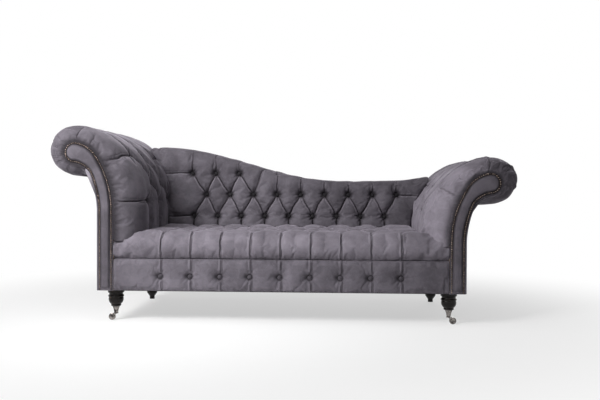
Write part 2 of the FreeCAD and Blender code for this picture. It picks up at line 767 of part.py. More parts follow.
# Seat frame, springs and cloths
def make_seat_frame():
    reach = frame_reach
    backing = front + facing_thick + board_thick
    back_start = front + frame_front
    back_end = front + body_depth - back_panel_thick
    save("front_rail", block(-reach, reach, backing, backing + rail_thick, rail_bottom, rail_top))
    save("back_rail", block(-reach, reach, back_start, back_end, rail_bottom, rail_top))
    outer = roll_reach - core_outer
    side_end = back_end - board_thick
    for name, side in (("left", -1), ("right", 1)):
        x0, x1 = sorted((side * outer, side * (outer - side_rail_thick)))
        save(name + "_side_rail", block(x0, x1, backing, side_end, rail_bottom, rail_top))
    rails = []
    for x in cross_rail_places:
        rails.append(block(x - cross_rail_width / 2, x + cross_rail_width / 2, backing + rail_thick, back_start,
                           rail_bottom, rail_bottom + cross_rail_height))
    save("cross_rails", Part.makeCompound(rails))
    blocks = []
    bolts = []
    for side in (-1, 1):
        inner = outer - side_rail_thick
        x0, x1 = sorted((side * inner, side * (inner - block_size[0])))
        for leg, y0 in ((front_leg_depth, backing + rail_thick), (rear_leg_depth, back_start - block_size[1])):
            solid = block(x0, x1, y0, y0 + block_size[1], rail_bottom, rail_bottom + block_size[2])
            foot = V(side * leg_reach, front + leg, rail_bottom - bolt_in_leg)
            bolt = Part.makeCylinder(bolt_radius, bolt_in_leg + bolt_in_block, foot)
            blocks.append(solid.cut(bolt))
            bolts.append(bolt)
    save("corner_blocks", Part.makeCompound(blocks))
    save("leg_bolts", Part.makeCompound(bolts))


def make_springs():
    first = front + facing_thick + board_thick + rail_thick / 2
    last = front + frame_front + clip_size[1] / 2
    level = rail_top + clip_size[2] / 2
    turn = spring_turn
    slant = turn * math.sqrt(0.5)
    lead = (last - first - 2 * turn * (spring_passes - 1)) / 2
    start = first + lead
    springs = []
    clips = []
    for x in spring_places:
        corner = V(x + turn, start, level)
        edges = [line(V(x, first, level), V(x, start - turn, level)),
                 arc(V(x, start - turn, level), V(x + turn - slant, start - turn + slant, level), corner)]
        here = corner
        for number in range(spring_passes - 1):
            way = 1 if number % 2 == 0 else -1
            y = start + 2 * turn * number
            bend = V(x + way * (turn + spring_swing), y, level)
            over = bend + V(0, 2 * turn, 0)
            edges.append(line(here, bend))
            edges.append(arc(bend, bend + V(way * turn, turn, 0), over))
            here = over
        way = 1 if spring_passes % 2 == 1 else -1
        end = start + 2 * turn * (spring_passes - 1)
        corner = V(x - way * turn, end, level)
        leave = V(x, end + turn, level)
        edges.append(line(here, corner))
        edges.append(arc(corner, V(x - way * (turn - slant), end + turn - slant, level), leave))
        edges.append(line(leave, V(x, last, level)))
        section = Part.Wire([Part.makeCircle(wire_radius, V(x, first, level), V(0, 1, 0))])
        springs.append(Part.Wire(edges).makePipeShell([section], True, False))
        for y in (first, last):
            hole = Part.makeCylinder(wire_radius, clip_size[1], V(x, y - clip_size[1] / 2, level), V(0, 1, 0))
            clip = block(x - clip_size[0] / 2, x + clip_size[0] / 2, y - clip_size[1] / 2, y + clip_size[1] / 2,
                         rail_top, rail_top + clip_size[2])
            clips.append(clip.cut(hole))
    save("seat_springs", Part.makeCompound(springs))
    save("spring_clips", Part.makeCompound(clips))


def make_cloths():
    reach = frame_reach - panel_gap
    low = rail_top + clip_size[2]
    start = front + facing_thick + board_thick + panel_gap
    save("seat_deck", block(-reach, reach, start, front + back_pad_rear, low, low + deck_thick))
    outer = roll_reach - core_outer - dust_margin
    under = rail_bottom - dust_thick
    dust = block(-outer, outer, front + dust_margin, rear - dust_margin, under, rail_bottom)
    for side in (-1, 1):
        for depth in (front_leg_depth, rear_leg_depth):
            dust = dust.cut(Part.makeCylinder(flange_radius + soft_gap, 10 * dust_thick,
                                              V(side * leg_reach, front + depth, rail_bottom - 5 * dust_thick)))
    save("dust_cover", dust)


# Legs
def leg_top_turns():
    groove_middle = (flange_foot + groove_foot) / 2
    ring_middle = (groove_foot + ring_foot) / 2
    return [
        ((0, rail_bottom), (flange_radius, rail_bottom)),
        ((flange_radius, rail_bottom), (flange_radius, flange_foot)),
        ((flange_radius, flange_foot), (groove_radius, groove_middle), (groove_radius + 1, groove_foot)),
        ((groove_radius + 1, groove_foot), (ring_radius, ring_middle), (groove_radius + 1, ring_foot)),
    ]


def make_legs():
    cup_top = front_leg_foot
    bead = (waist_height + front_leg_foot) / 2
    tenon_foot = front_leg_foot - tenon_length
    shaped = leg_top_turns()
    shaped += [
        ((groove_radius + 1, ring_foot), (bulb_radius, bulb_height), (waist_radius, waist_height)),
        ((waist_radius, waist_height), (bead_radius, bead), (waist_radius - 4, cup_top)),
        ((waist_radius - 4, cup_top), (tenon_radius, cup_top)),
        ((tenon_radius, cup_top), (tenon_radius, tenon_foot)),
        ((tenon_radius, tenon_foot), (0, tenon_foot)),
        ((0, tenon_foot), (0, rail_bottom)),
    ]
    plain = leg_top_turns()
    plain += [
        ((groove_radius + 1, ring_foot), (bulb_radius - 1, waist_height), (rear_knee_radius, rear_knee_height)),
        ((rear_knee_radius, rear_knee_height), (rear_foot_radius, rear_ankle_height)),
        ((rear_foot_radius, rear_ankle_height), (rear_foot_radius, 0)),
        ((rear_foot_radius, 0), (0, 0)),
        ((0, 0), (0, rail_bottom)),
    ]
    for name, side in (("left", -1), ("right", 1)):
        for place, depth, turns in (("front", front_leg_depth, shaped), ("rear", rear_leg_depth, plain)):
            middle = V(side * leg_reach, front + depth, 0)
            bolt = Part.makeCylinder(bolt_radius, bolt_in_leg, middle + V(0, 0, rail_bottom - bolt_in_leg))
            save(place + "_" + name + "_leg", turned(turns, middle).cut(bolt))


# Casters
def make_caster(name, side):
    middle = V(side * leg_reach, front + front_leg_depth, 0)
    cup_top = front_leg_foot
    chamber_top = cup_top - tenon_length
    chamber_foot = chamber_top - pin_head_height - 2 * chamber_fit
    hole = pin_radius + pin_fit
    room = pin_head_radius + chamber_fit
    lip = cup_top - cup_lip
    cup = turned([
        ((tenon_radius, cup_top), (cup_top_radius, cup_top)),
        ((cup_top_radius, cup_top), (cup_top_radius, lip)),
        ((cup_top_radius, lip), (cup_waist_radius, cup_waist_height), (cup_foot_radius, cup_bottom)),
        ((cup_foot_radius, cup_bottom), (hole, cup_bottom)),
        ((hole, cup_bottom), (hole, chamber_foot)),
        ((hole, chamber_foot), (room, chamber_foot)),
        ((room, chamber_foot), (room, chamber_top)),
        ((room, chamber_top), (tenon_radius, chamber_top)),
        ((tenon_radius, chamber_top), (tenon_radius, cup_top)),
    ], middle)
    save(name + "_caster_cup", cup)
    crown_top = cup_bottom - horn_gap
    crown_foot = crown_top - crown_height
    crown_middle = (crown_foot + crown_top) / 2
    head_low = chamber_foot + chamber_fit
    head_high = head_low + pin_head_height
    horn = turned([
        ((0, crown_foot), (crown_radius, crown_foot)),
        ((crown_radius, crown_foot), (crown_radius, crown_middle)),
        ((crown_radius, crown_middle), (crown_neck_radius, crown_top)),
        ((crown_neck_radius, crown_top), (pin_radius, crown_top)),
        ((pin_radius, crown_top), (pin_radius, head_low)),
        ((pin_radius, head_low), (pin_head_radius, head_low)),
        ((pin_head_radius, head_low), (pin_head_radius, head_high)),
        ((pin_head_radius, head_high), (0, head_high)),
        ((0, head_high), (0, crown_foot)),
    ], middle)
    hub = middle + V(side * wheel_trail, 0, wheel_radius)
    inner_face = wheel_width / 2 + cheek_gap
    for start in (inner_face, -inner_face - cheek_thick):
        y = hub.y + start
        top_in = V(middle.x - side * cheek_heel, y, crown_middle)
        top_out = V(middle.x + side * cheek_toe, y, crown_middle)
        low_out = V(hub.x + side * cheek_boss, y, hub.z)
        low_in = V(hub.x - side * cheek_boss, y, hub.z)
        under = V(hub.x, y, hub.z - cheek_boss)
        edges = [line(top_in, top_out), line(top_out, low_out), arc(low_out, under, low_in)]
        wire = Part.Wire([*edges, line(low_in, top_in)])
        horn = horn.fuse(Part.Face(wire).extrude(V(0, cheek_thick, 0)))
    outer_face = inner_face + cheek_thick
    shaft = Part.makeCylinder(axle_radius, 2 * outer_face, hub - V(0, outer_face, 0), V(0, 1, 0))
    save(name + "_caster_horn", horn.cut(shaft).removeSplitter())
    heads = []
    for start in (-outer_face - axle_head_thick, outer_face):
        heads.append(Part.makeCylinder(axle_head, axle_head_thick, hub + V(0, start, 0), V(0, 1, 0)))
    save(name + "_caster_axle", shaft.multiFuse(heads).removeSplitter())
    wheel = Part.makeCylinder(wheel_radius, wheel_width, hub - V(0, wheel_width / 2, 0), V(0, 1, 0))
    rims = [e for e in wheel.Edges if abs(e.Length - 2 * math.pi * wheel_radius) < 0.1]
    wheel = wheel.makeFillet(wheel_edge, rims)
    bore = Part.makeCylinder(axle_radius + pin_fit, wheel_width, hub - V(0, wheel_width / 2, 0), V(0, 1, 0))
    save(name + "_caster_wheel", wheel.cut(bore))
    print(name, "swivel line", middle, "wheel centre", hub)


for arm_name, arm_side, arm_height, arm_rows_used in (
    ("left", -1, left_roll_height, (0, 1, 2)),
    ("right", 1, right_roll_height, (0, 1)),
):
    make_arm(arm_name, arm_side, arm_height, arm_rows_used)
    make_arm_frame(arm_name, arm_side, arm_height)
    make_nails(arm_name, arm_side, arm_height)
    make_caster(arm_name, arm_side)
    make_outside_arm(arm_name, arm_side, arm_height)
make_back()
make_back_frame()
make_outside_back()
make_seat()
make_border()
make_seat_frame()
make_springs()
make_cloths()
make_legs()
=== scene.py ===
import bpy
import bmesh
import math
import numpy as np
from mathutils import Matrix, Vector


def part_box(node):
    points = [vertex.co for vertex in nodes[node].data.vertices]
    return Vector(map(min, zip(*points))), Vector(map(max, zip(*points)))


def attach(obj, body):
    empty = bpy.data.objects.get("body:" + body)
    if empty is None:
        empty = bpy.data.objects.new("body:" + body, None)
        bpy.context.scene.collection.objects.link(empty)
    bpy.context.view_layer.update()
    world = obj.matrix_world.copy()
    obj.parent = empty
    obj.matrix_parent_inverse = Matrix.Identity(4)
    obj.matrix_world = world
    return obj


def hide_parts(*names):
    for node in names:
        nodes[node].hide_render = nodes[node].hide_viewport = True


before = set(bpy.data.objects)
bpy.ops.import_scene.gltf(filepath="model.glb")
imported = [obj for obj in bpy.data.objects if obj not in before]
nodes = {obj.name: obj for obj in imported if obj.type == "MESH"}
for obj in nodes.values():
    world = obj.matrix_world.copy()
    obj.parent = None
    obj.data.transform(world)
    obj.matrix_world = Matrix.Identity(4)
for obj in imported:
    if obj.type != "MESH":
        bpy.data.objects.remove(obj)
scene = bpy.context.scene
for spare in ("Cube", "Light", "Camera"):
    if spare in bpy.data.objects:
        bpy.data.objects.remove(bpy.data.objects[spare])
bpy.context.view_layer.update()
print("frame loaded:", len(nodes), "nodes")

# planes read from the frame, in metres
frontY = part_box("left_arm_facing")[0].y
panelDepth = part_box("outside_back")[0].y - frontY
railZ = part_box("front_border")[0].z

sofa = {
    "rollReach": 1.036,        # middle of the seat to the centre of either roll
    "leftRoll": 0.850,         # height of the centre of each roll
    "rightRoll": 0.704,
    "softGap": 0.003,          # between pads that meet
    "deckZ": 0.299,
    "seamZ": 0.316,            # foot of the seat front
    "spacing": 0.0036,         # mesh spacing on the padding
}


# helpers for nodes and materials
def setInputs(node, inputs):
    # each input takes a plain value or the output of another node
    for key, value in inputs.items():
        if isinstance(value, bpy.types.NodeSocket):
            node.id_data.links.new(value, node.inputs[key])
        else:
            node.inputs[key].default_value = value


def addNode(tree, kind, inputs=None, **settings):
    made = tree.nodes.new("ShaderNode" + kind)
    for key, value in settings.items():
        setattr(made, key, value)
    setInputs(made, inputs or {})
    return made


def math2(tree, operation, a, b):
    return addNode(tree, "Math", {0: a, 1: b}, operation=operation).outputs[0]


def weigh(tree, source, share, plus):
    return math2(tree, "ADD", math2(tree, "MULTIPLY", source, share), plus)


def mixColour(tree, factor, a, b, blend="MIX"):
    return addNode(tree, "Mix", {0: factor, 6: a, 7: b}, data_type="RGBA", blend_type=blend).outputs[2]


def ramp(tree, source, stops):
    limits = zip(("From Min", "From Max", "To Min", "To Max"), stops)
    made = addNode(tree, "MapRange", {"Value": source, **dict(limits)}, interpolation_type="SMOOTHSTEP")
    return made.outputs["Result"]


def noise(tree, place, scale, detail, roughness=0.5, distortion=0.0):
    inputs = {"Vector": place, "Scale": scale, "Detail": detail, "Roughness": roughness,
              "Distortion": distortion}
    return addNode(tree, "TexNoise", inputs).outputs["Fac"]


def waves(tree, place, scale, direction, distortion, detail, detailScale):
    inputs = {"Vector": place, "Scale": scale, "Distortion": distortion, "Detail": detail,
              "Detail Scale": detailScale}
    return addNode(tree, "TexWave", inputs, bands_direction=direction).outputs["Fac"]


def mask(tree, label):
    return addNode(tree, "Attribute", attribute_name=label).outputs["Fac"]


def bump(tree, height, strength, distance):
    made = addNode(tree, "Bump", {"Height": height, "Strength": strength, "Distance": distance})
    return made.outputs["Normal"]


def newMaterial(name):
    material = bpy.data.materials.new(name)
    material.use_nodes = True
    tree = material.node_tree
    tree.nodes.clear()
    shader = addNode(tree, "BsdfPrincipled")
    addNode(tree, "OutputMaterial", {"Surface": shader.outputs["BSDF"]})
    return material, tree, shader


def newGroup(name, values, outputs):
    # every group takes a place on the surface and a few values
    group = bpy.data.node_groups.new(name, "ShaderNodeTree")
    group.interface.new_socket("Vector", in_out="INPUT", socket_type="NodeSocketVector")
    for label, value in values.items():
        socket = group.interface.new_socket(label, in_out="INPUT", socket_type="NodeSocketFloat")
        socket.default_value = value
    for label in outputs:
        group.interface.new_socket(label, in_out="OUTPUT", socket_type="NodeSocketFloat")
    return group, group.nodes.new("NodeGroupInput").outputs, group.nodes.new("NodeGroupOutput")


# brushed nap: slow cloudy patches where the pile lies another way, and a fine pile
def makeNapGroup():
    group, enter, leave = newGroup("velvetNap", {"Cloud Scale": 9.0, "Pile Scale": 700.0}, ("Cloud", "Pile"))
    place, scale = enter["Vector"], enter["Cloud Scale"]
    cloud = noise(group, place, scale, detail=3.0, roughness=0.5, distortion=0.5)
    finer = math2(group, "MULTIPLY", scale, 4.3)
    streak = noise(group, place, finer, detail=6.0, roughness=0.72, distortion=0.8)
    both = weigh(group, cloud, 0.58, math2(group, "MULTIPLY", streak, 0.42))
    pile = noise(group, place, enter["Pile Scale"], detail=2.0, roughness=0.7)
    setInputs(leave, {"Cloud": ramp(group, both, (0.30, 0.72, 0.0, 1.0)), "Pile": pile})
    return group


# woven threads over and under, for the hidden cloths
def makeWeaveGroup():
    group, enter, leave = newGroup("clothWeave", {"Threads": 900.0}, ("Thread",))
    sets = [waves(group, enter["Vector"], enter["Threads"], way, distortion=1.2, detail=2.0, detailScale=3.0)
            for way in ("X", "Y")]
    setInputs(leave, {"Thread": math2(group, "MAXIMUM", *sets)})
    return group


# long fibres with darker growth lines
def makeGrainGroup():
    group, enter, leave = newGroup("woodGrain", {"Scale": 14.0}, ("Grain",))
    place, scale = enter["Vector"], enter["Scale"]
    fibre = noise(group, place, scale, detail=6.0, roughness=0.6, distortion=0.4)
    rings = waves(group, place, scale, "Z", distortion=5.0, detail=3.0, detailScale=1.4)
    setInputs(leave, {"Grain": weigh(group, rings, 0.5, math2(group, "MULTIPLY", fibre, 0.5))})
    return group


# rubbed and tarnished patches on metal and lacquer
def makeWearGroup():
    group, enter, leave = newGroup("handlingWear", {"Scale": 120.0}, ("Tarnish", "Scuff"))
    place, scale = enter["Vector"], enter["Scale"]
    tarnish = noise(group, place, scale, detail=4.0, roughness=0.65, distortion=0.5)
    scuff = noise(group, place, math2(group, "MULTIPLY", scale, 6.0), detail=6.0, roughness=0.75)
    setInputs(leave, {"Tarnish": ramp(group, tarnish, (0.4, 0.65, 0.0, 1.0)),
                      "Scuff": ramp(group, scuff, (0.5, 0.72, 0.0, 1.0))})
    return group


napGroup = makeNapGroup()
weaveGroup = makeWeaveGroup()
grainGroup = makeGrainGroup()
wearGroup = makeWearGroup()


def placeGroup(tree, group, values):
    place = addNode(tree, "TexCoord").outputs["Object"]
    return addNode(tree, "Group", {"Vector": place, **values}, node_tree=group).outputs


velvetLook = {
    "dark": (0.083, 0.0745, 0.088),
    "light": (0.154, 0.139, 0.164),
    "masks": (("lip", 0.55, (0.290, 0.262, 0.304, 1)),         # painted highlight on the lips of the pleats
              ("crease", 0.95, (0.008, 0.006, 0.008, 1))),     # painted shade down in the pleats and other shaded places
    "pileScale": 620.0, "pileBump": 0.0006, "pileStrength": 0.35,
    "speckle": (0.3, 0.7, 0.92, 1.07), "roughness": (0.0, 1.0, 0.86, 0.70),
    "sheenTint": (0.90, 0.83, 0.95, 1), "sheenRoughness": 0.40, "gloss": 0.18,
}


def makeVelvet(name, cloudScale, tufted, brightness=1.0, sheen=0.32):
    look = velvetLook
    material, tree, shader = newMaterial(name)
    nap = placeGroup(tree, napGroup, {"Cloud Scale": cloudScale, "Pile Scale": look["pileScale"]})
    dark, light = ((*(c * brightness for c in look[tone]), 1) for tone in ("dark", "light"))
    colour = mixColour(tree, nap["Cloud"], dark, light)
    colour = mixColour(tree, 1.0, colour, ramp(tree, nap["Pile"], look["speckle"]), "MULTIPLY")
    for label, share, tint in look["masks"] if tufted else ():
        colour = mixColour(tree, math2(tree, "MULTIPLY", mask(tree, label), share), colour, tint)
    setInputs(shader, {"Base Color": colour, "Roughness": ramp(tree, nap["Cloud"], look["roughness"]),
                       "Sheen Weight": sheen, "Sheen Roughness": look["sheenRoughness"],
                       "Sheen Tint": look["sheenTint"], "Specular IOR Level": look["gloss"],
                       "Normal": bump(tree, nap["Pile"], look["pileStrength"], look["pileBump"])})
    return material


def makeCloth(name, threads, dark, light, relief):
    material, tree, shader = newMaterial(name)
    thread = placeGroup(tree, weaveGroup, {"Threads": threads})["Thread"]
    setInputs(shader, {"Base Color": mixColour(tree, thread, dark, light), "Roughness": 0.9,
                       "Specular IOR Level": 0.15,
                       "Normal": bump(tree, thread, strength=0.6, distance=relief)})
    return material


def makeWood(name, scale, dark, light, rough, coat):
    material, tree, shader = newMaterial(name)
    grain = placeGroup(tree, grainGroup, {"Scale": scale})["Grain"]
    scuff = placeGroup(tree, wearGroup, {"Scale": 60.0})["Scuff"]
    setInputs(shader, {"Base Color": mixColour(tree, grain, dark, light),
                       "Roughness": weigh(tree, scuff, 0.16, rough), "Coat Weight": coat,
                       "Coat Roughness": 0.08, "Specular IOR Level": 0.16,
                       "Normal": bump(tree, grain, strength=0.25, distance=0.0006)})
    return material


def makeMetal(name, bright, tarnished, rough, share, scale, paintedRimShade=None):
    material, tree, shader = newMaterial(name)
    wear = placeGroup(tree, wearGroup, {"Scale": scale})
    colour = mixColour(tree, math2(tree, "MULTIPLY", wear["Tarnish"], share), bright, tarnished)
    if paintedRimShade:                                # painted shade round the rims, the crowns left at full tone as a painted highlight
        colour = mixColour(tree, mask(tree, "crown"), paintedRimShade, colour)
    setInputs(shader, {"Base Color": colour, "Roughness": weigh(tree, wear["Scuff"], 0.18, rough),
                       "Metallic": 1.0, "Normal": bump(tree, wear["Scuff"], strength=0.15, distance=0.0002)})
    return material


# values of each material, in the order that its function takes them
looks = {
    makeVelvet: {                            # scale of the nap, pleated or not, brightness, sheen
        "backVelvet": (7.0, True, 0.83), "leftArmVelvet": (7.0, True, 0.85),       # lighter and darker copies of one velvet, painted light and shade
        "rightArmVelvet": (7.0, True, 1.75), "seatVelvet": (7.0, True, 1.30),
        "borderVelvet": (7.0, True, 1.0), "facingVelvet": (7.0, True, 0.90),
        "outsideVelvet": (5.0, True, 1.0), "buttonVelvet": (30.0, False, 0.55),
        "sunkVelvet": (30.0, False, 0.10, 0.08),       # darker copy for buttons down in the deep tufts, painted shade
    },
    makeCloth: {                             # threads, dark and light tone, relief
        "dustCloth": (420.0, (0.008, 0.008, 0.009, 1), (0.030, 0.030, 0.032, 1), 0.0004),
        "hessian": (160.0, (0.16, 0.11, 0.06, 1), (0.42, 0.31, 0.18, 1), 0.0012),
        "webbing": (200.0, (0.10, 0.08, 0.05, 1), (0.46, 0.39, 0.27, 1), 0.0010),
    },
    makeWood: {                              # scale of the grain, dark and light tone, roughness, coat
        "legWood": (9.0, (0.0035, 0.0028, 0.0027, 1), (0.0095, 0.0066, 0.0058, 1), 0.24, 0.06),
        "frameWood": (6.0, (0.36, 0.23, 0.12, 1), (0.62, 0.45, 0.27, 1), 0.55, 0.0),
    },
    makeMetal: {                             # bright and tarnished tone, roughness, tarnish, its scale, painted rim shade
        "nailBronze": ((0.25, 0.192, 0.165, 1), (0.030, 0.021, 0.019, 1), 0.14, 0.95, 85.0,
                       (0.006, 0.005, 0.005, 1)),
        # on the casters the near-black tarnish patches also stand in for dark reflections, a painted reflection
        "casterNickel": ((0.31, 0.287, 0.272, 1), (0.012, 0.010, 0.010, 1), 0.12, 0.97, 62.0),
        "springSteel": ((0.34, 0.34, 0.36, 1), (0.10, 0.09, 0.09, 1), 0.34, 0.6, 150.0),
    },
}
covers = {name: make(name, *values) for make, table in looks.items() for name, values in table.items()}
print("materials made:", len(covers))


# helpers for shapes
def unit(value):
    return np.clip(value, 0, 1)


def ease(value):
    return unit(value) ** 2 * (3 - 2 * unit(value))


def bell(value, width):
    return np.exp(-(value / width) ** 2)


def even(start, end, share):
    return start + (end - start) * share


def countFor(length):
    return 2 * int(round(length / sofa["spacing"] / 2)) + 1


def lengths(path):
    return np.concatenate([[0], np.cumsum(np.linalg.norm(np.diff(path, axis=0), axis=1))])


def grid(x, y, z):
    return np.stack(np.broadcast_arrays(x, y, z), axis=-1)


def toMesh(bm, name):
    mesh = bpy.data.meshes.new(name)
    bm.to_mesh(mesh)
    bm.free()
    return mesh


def readPoints(mesh):
    flat = np.empty(len(mesh.vertices) * 3, np.float32)
    mesh.vertices.foreach_get("co", flat)
    return flat.reshape(-1, 3)


def addMask(mesh, label, values):
    layer = mesh.attributes.new(label, "FLOAT", "POINT")
    layer.data.foreach_set("value", values.astype(np.float32))


# the surface of a pad is a grid of points, rows along the first axis
def gridMesh(name, points):
    rows, columns = points.shape[:2]
    bm = bmesh.new()
    bmesh.ops.create_grid(bm, x_segments=columns - 1, y_segments=rows - 1, size=0.5)
    mesh = toMesh(bm, name)
    flat = readPoints(mesh) + 0.5
    row = np.rint(flat[:, 1] * (rows - 1)).astype(int)
    column = np.rint(flat[:, 0] * (columns - 1)).astype(int)
    mesh.vertices.foreach_set("co", points[row, column].astype(np.float32).ravel())
    return mesh, row, column


def raised(points, lift, way=1):
    normal = np.cross(np.gradient(points, axis=1), np.gradient(points, axis=0))
    normal = normal / np.maximum(np.linalg.norm(normal, axis=2, keepdims=True), 1e-12)
    return points + way * normal * lift[..., None]


def addPiece(name, mesh, cover, node, body="sofa"):
    mesh.materials.clear()
    mesh.materials.append(covers[cover])
    mesh.shade_smooth()
    piece = bpy.data.objects.new(name, mesh)
    scene.collection.objects.link(piece)
    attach(piece, body)
    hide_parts(node)
    return piece


lumpWaves = {"count": 7, "pace": (0.55, 1.5), "phase": 6.3, "level": 3.2}


def lumps(p, q, size, seed):
    # slow unevenness from a few crossing waves
    draw = np.random.default_rng(seed)
    total = np.zeros_like(p)
    for turn in draw.uniform(0, 2 * math.pi, lumpWaves["count"]):
        pace = 2 * math.pi / size * draw.uniform(*lumpWaves["pace"])
        along = p * math.cos(turn) + q * math.sin(turn)
        total += np.sin(pace * along + draw.uniform(0, lumpWaves["phase"]))
    return total / lumpWaves["level"]


farAway = 9.0                  # further than any pleat or button
pleatLine = {"bends": 7.0, "shift": 1.7, "lipPast": 0.002, "gatherTurn": 0.9}


def nearestPleat(p, q, pleats, wander):
    # distance to the nearest pleat, the signed distance on its lip side and its strength there
    best = np.full(p.shape, farAway)
    lipSide = np.full(p.shape, -farAway)
    strength = np.zeros(p.shape)
    for number, (start, end, first, last) in enumerate(pleats):
        run = np.array(end) - np.array(start)
        length = math.hypot(*run)
        run = run / length
        side = np.array((-run[1], run[0]))
        if side[1] > 1e-6 or (abs(side[1]) <= 1e-6 and side[0] > 0):
            side = -side
        along = (p - start[0]) * run[0] + (q - start[1]) * run[1]
        share = unit(along / length)
        across = (p - start[0]) * side[0] + (q - start[1]) * side[1]
        bends = np.sin(share * pleatLine["bends"] + number * pleatLine["shift"])
        across = across + wander * np.sin(share * math.pi) * bends
        past = np.maximum(0, np.maximum(-along, along - length))
        distance = np.hypot(across, past)
        closer = distance < best
        best = np.where(closer, distance, best)
        lipSide = np.where(closer, np.where(past > pleatLine["lipPast"], -farAway, across), lipSide)
        strength = np.where(closer, even(first, last, share), strength)
    return best, lipSide, strength


def nearestButton(p, q, buttons):
    best = np.full(p.shape, farAway)
    angle = np.zeros(p.shape)
    for number, (bp, bq) in enumerate(buttons):
        distance = np.hypot(p - bp, q - bq)
        closer = distance < best
        best = np.where(closer, distance, best)
        turned = np.arctan2(q - bq, p - bp) + number * pleatLine["gatherTurn"]
        angle = np.where(closer, turned, angle)
    return best, angle


tuft = {
    "fold": 0.012, "foldWidth": 0.012, "foldShade": 0.20, "foldFade": 0.009,
    "crease": 0.0045, "creaseWidth": 0.0032, "creaseSpread": 1.5,
    "lip": 0.0030, "lipOffset": 0.0066, "lipWidth": 0.0032,
    "ridge": 0.0022, "ridgeWidth": 0.0030, "ridgeLight": 0.4,
    "groove": 0.7, "grooveOffset": 0.0052, "grooveWidth": 0.0026, "grooveShade": 0.6,
    "pit": 0.021, "pitWidth": 0.018, "pitDark": 0.97, "pitShade": 0.013, "pitSharp": 2.6,
    "buttonRoom": 0.0105, "freeWidth": 0.012, "buttonHold": 0.006, "pleatHold": 0.007,
    "pucker": 0.0016, "gathers": 9, "ring": 0.026, "ringWidth": 0.011,
    "wander": 0.0022, "fineWander": 0.00088, "lump": 0.0016, "lumpSize": 0.11,
}


def tuftLift(p, q, buttons, pleats, fine, seed, lipShare=1.0, **changes):
    # how far the cover stands out, painted shade in its folds, painted highlight on its lips and where it is
    # held
    t = {**tuft, **changes}
    near, lipSide, strength = nearestPleat(p, q, pleats, t["wander"])
    reach, angle = nearestButton(p, q, buttons)
    clear = np.maximum(0, reach - t["buttonRoom"])
    free = 1 - bell(clear, t["freeWidth"])
    capped = np.minimum(strength, 1)
    width = t["creaseWidth"] * np.maximum(1, strength) ** t["creaseSpread"]     # wide where strong
    # painted shade along the pleats and painted highlight on their lips
    line = capped * bell(near, width) * free
    edge = capped * bell(lipSide - t["lipOffset"], t["lipWidth"]) * free * lipShare
    lift = t["lip"] * edge - t["crease"] * line - t["fold"] * strength * np.exp(-near / t["foldWidth"])
    shade = line + t["foldShade"] * capped * np.exp(-near / t["foldFade"])
    # fine folds beside the pleats, with painted highlight on the ridges and painted shade in the grooves
    close, side, thin = nearestPleat(p, q, fine, t["fineWander"])
    ridge = thin * bell(close, t["ridgeWidth"]) * free
    groove = thin * bell(side + t["grooveOffset"], t["grooveWidth"]) * free
    lift = lift + t["ridge"] * (ridge - t["groove"] * groove)
    edge = np.maximum(edge, t["ridgeLight"] * ridge * lipShare)
    shade = shade + t["grooveShade"] * groove
    # pits round the buttons, with painted shade down in them
    pit = np.exp(-clear / t["pitWidth"])
    lift = lift - t["pit"] * pit
    lift = lift + t["pucker"] * bell(reach - t["ring"], t["ringWidth"]) * np.cos(t["gathers"] * angle)
    lift = lift + t["lump"] * lumps(p, q, t["lumpSize"], seed) * (1 - pit)
    shade = np.maximum(shade, t["pitDark"] * np.exp(-(clear / t["pitShade"]) ** t["pitSharp"]))
    hold = np.maximum(strength * bell(near, t["pleatHold"]), bell(clear, t["buttonHold"]))
    return lift, unit(shade), unit(edge), unit(hold)


clothRun = {"frames": 14, "pressure": 4.0, "slack": -0.035, "cap": 0.007, "quality": 4, "mass": 0.25,
            "bending": 0.6, "levels": 20}


def relaxCloth(points, hold):
    # a short cloth run on every second row and column, held at the buttons, pleats and edges
    coarse = points[::2, ::2]
    mesh, row, column = gridMesh("clothRun", coarse)
    piece = bpy.data.objects.new("clothRun", mesh)
    scene.collection.objects.link(piece)
    weight = hold[::2, ::2].copy()
    weight[0] = weight[-1] = 1
    weight[:, 0] = weight[:, -1] = 1
    group = piece.vertex_groups.new(name="held")
    level = np.rint(weight[row, column] * clothRun["levels"]).astype(int)
    for step in range(1, clothRun["levels"] + 1):
        group.add(np.flatnonzero(level == step).tolist(), step / clothRun["levels"], "REPLACE")
    cloth = piece.modifiers.new("cloth", "CLOTH")
    cloth.settings.quality = clothRun["quality"]
    cloth.settings.mass = clothRun["mass"]
    cloth.settings.vertex_group_mass = "held"
    cloth.settings.use_pressure = True
    cloth.settings.uniform_pressure_force = clothRun["pressure"]
    cloth.settings.shrink_min = clothRun["slack"]
    cloth.settings.bending_stiffness = clothRun["bending"]
    cloth.settings.effector_weights.gravity = 0
    cloth.collision_settings.use_collision = False
    cloth.point_cache.frame_start = 1
    cloth.point_cache.frame_end = clothRun["frames"]
    for number in range(1, clothRun["frames"] + 1):
        scene.frame_set(number)
    shown = piece.evaluated_get(bpy.context.evaluated_depsgraph_get())
    moved = coarse.copy()
    moved[row, column] = readPoints(shown.data)
    bpy.data.objects.remove(piece)
    bpy.data.meshes.remove(mesh)
    scene.frame_set(1)
    shift = moved - coarse
    size = np.linalg.norm(shift, axis=2, keepdims=True)
    shift *= np.minimum(1, clothRun["cap"] / np.maximum(size, 1e-9))
    full = np.zeros_like(points)
    full[::2, ::2] = shift
    full[1::2, ::2] = (shift[:-1] + shift[1:]) / 2
    full[:, 1::2] = (full[:, :-1:2] + full[:, 2::2]) / 2
    return points + full


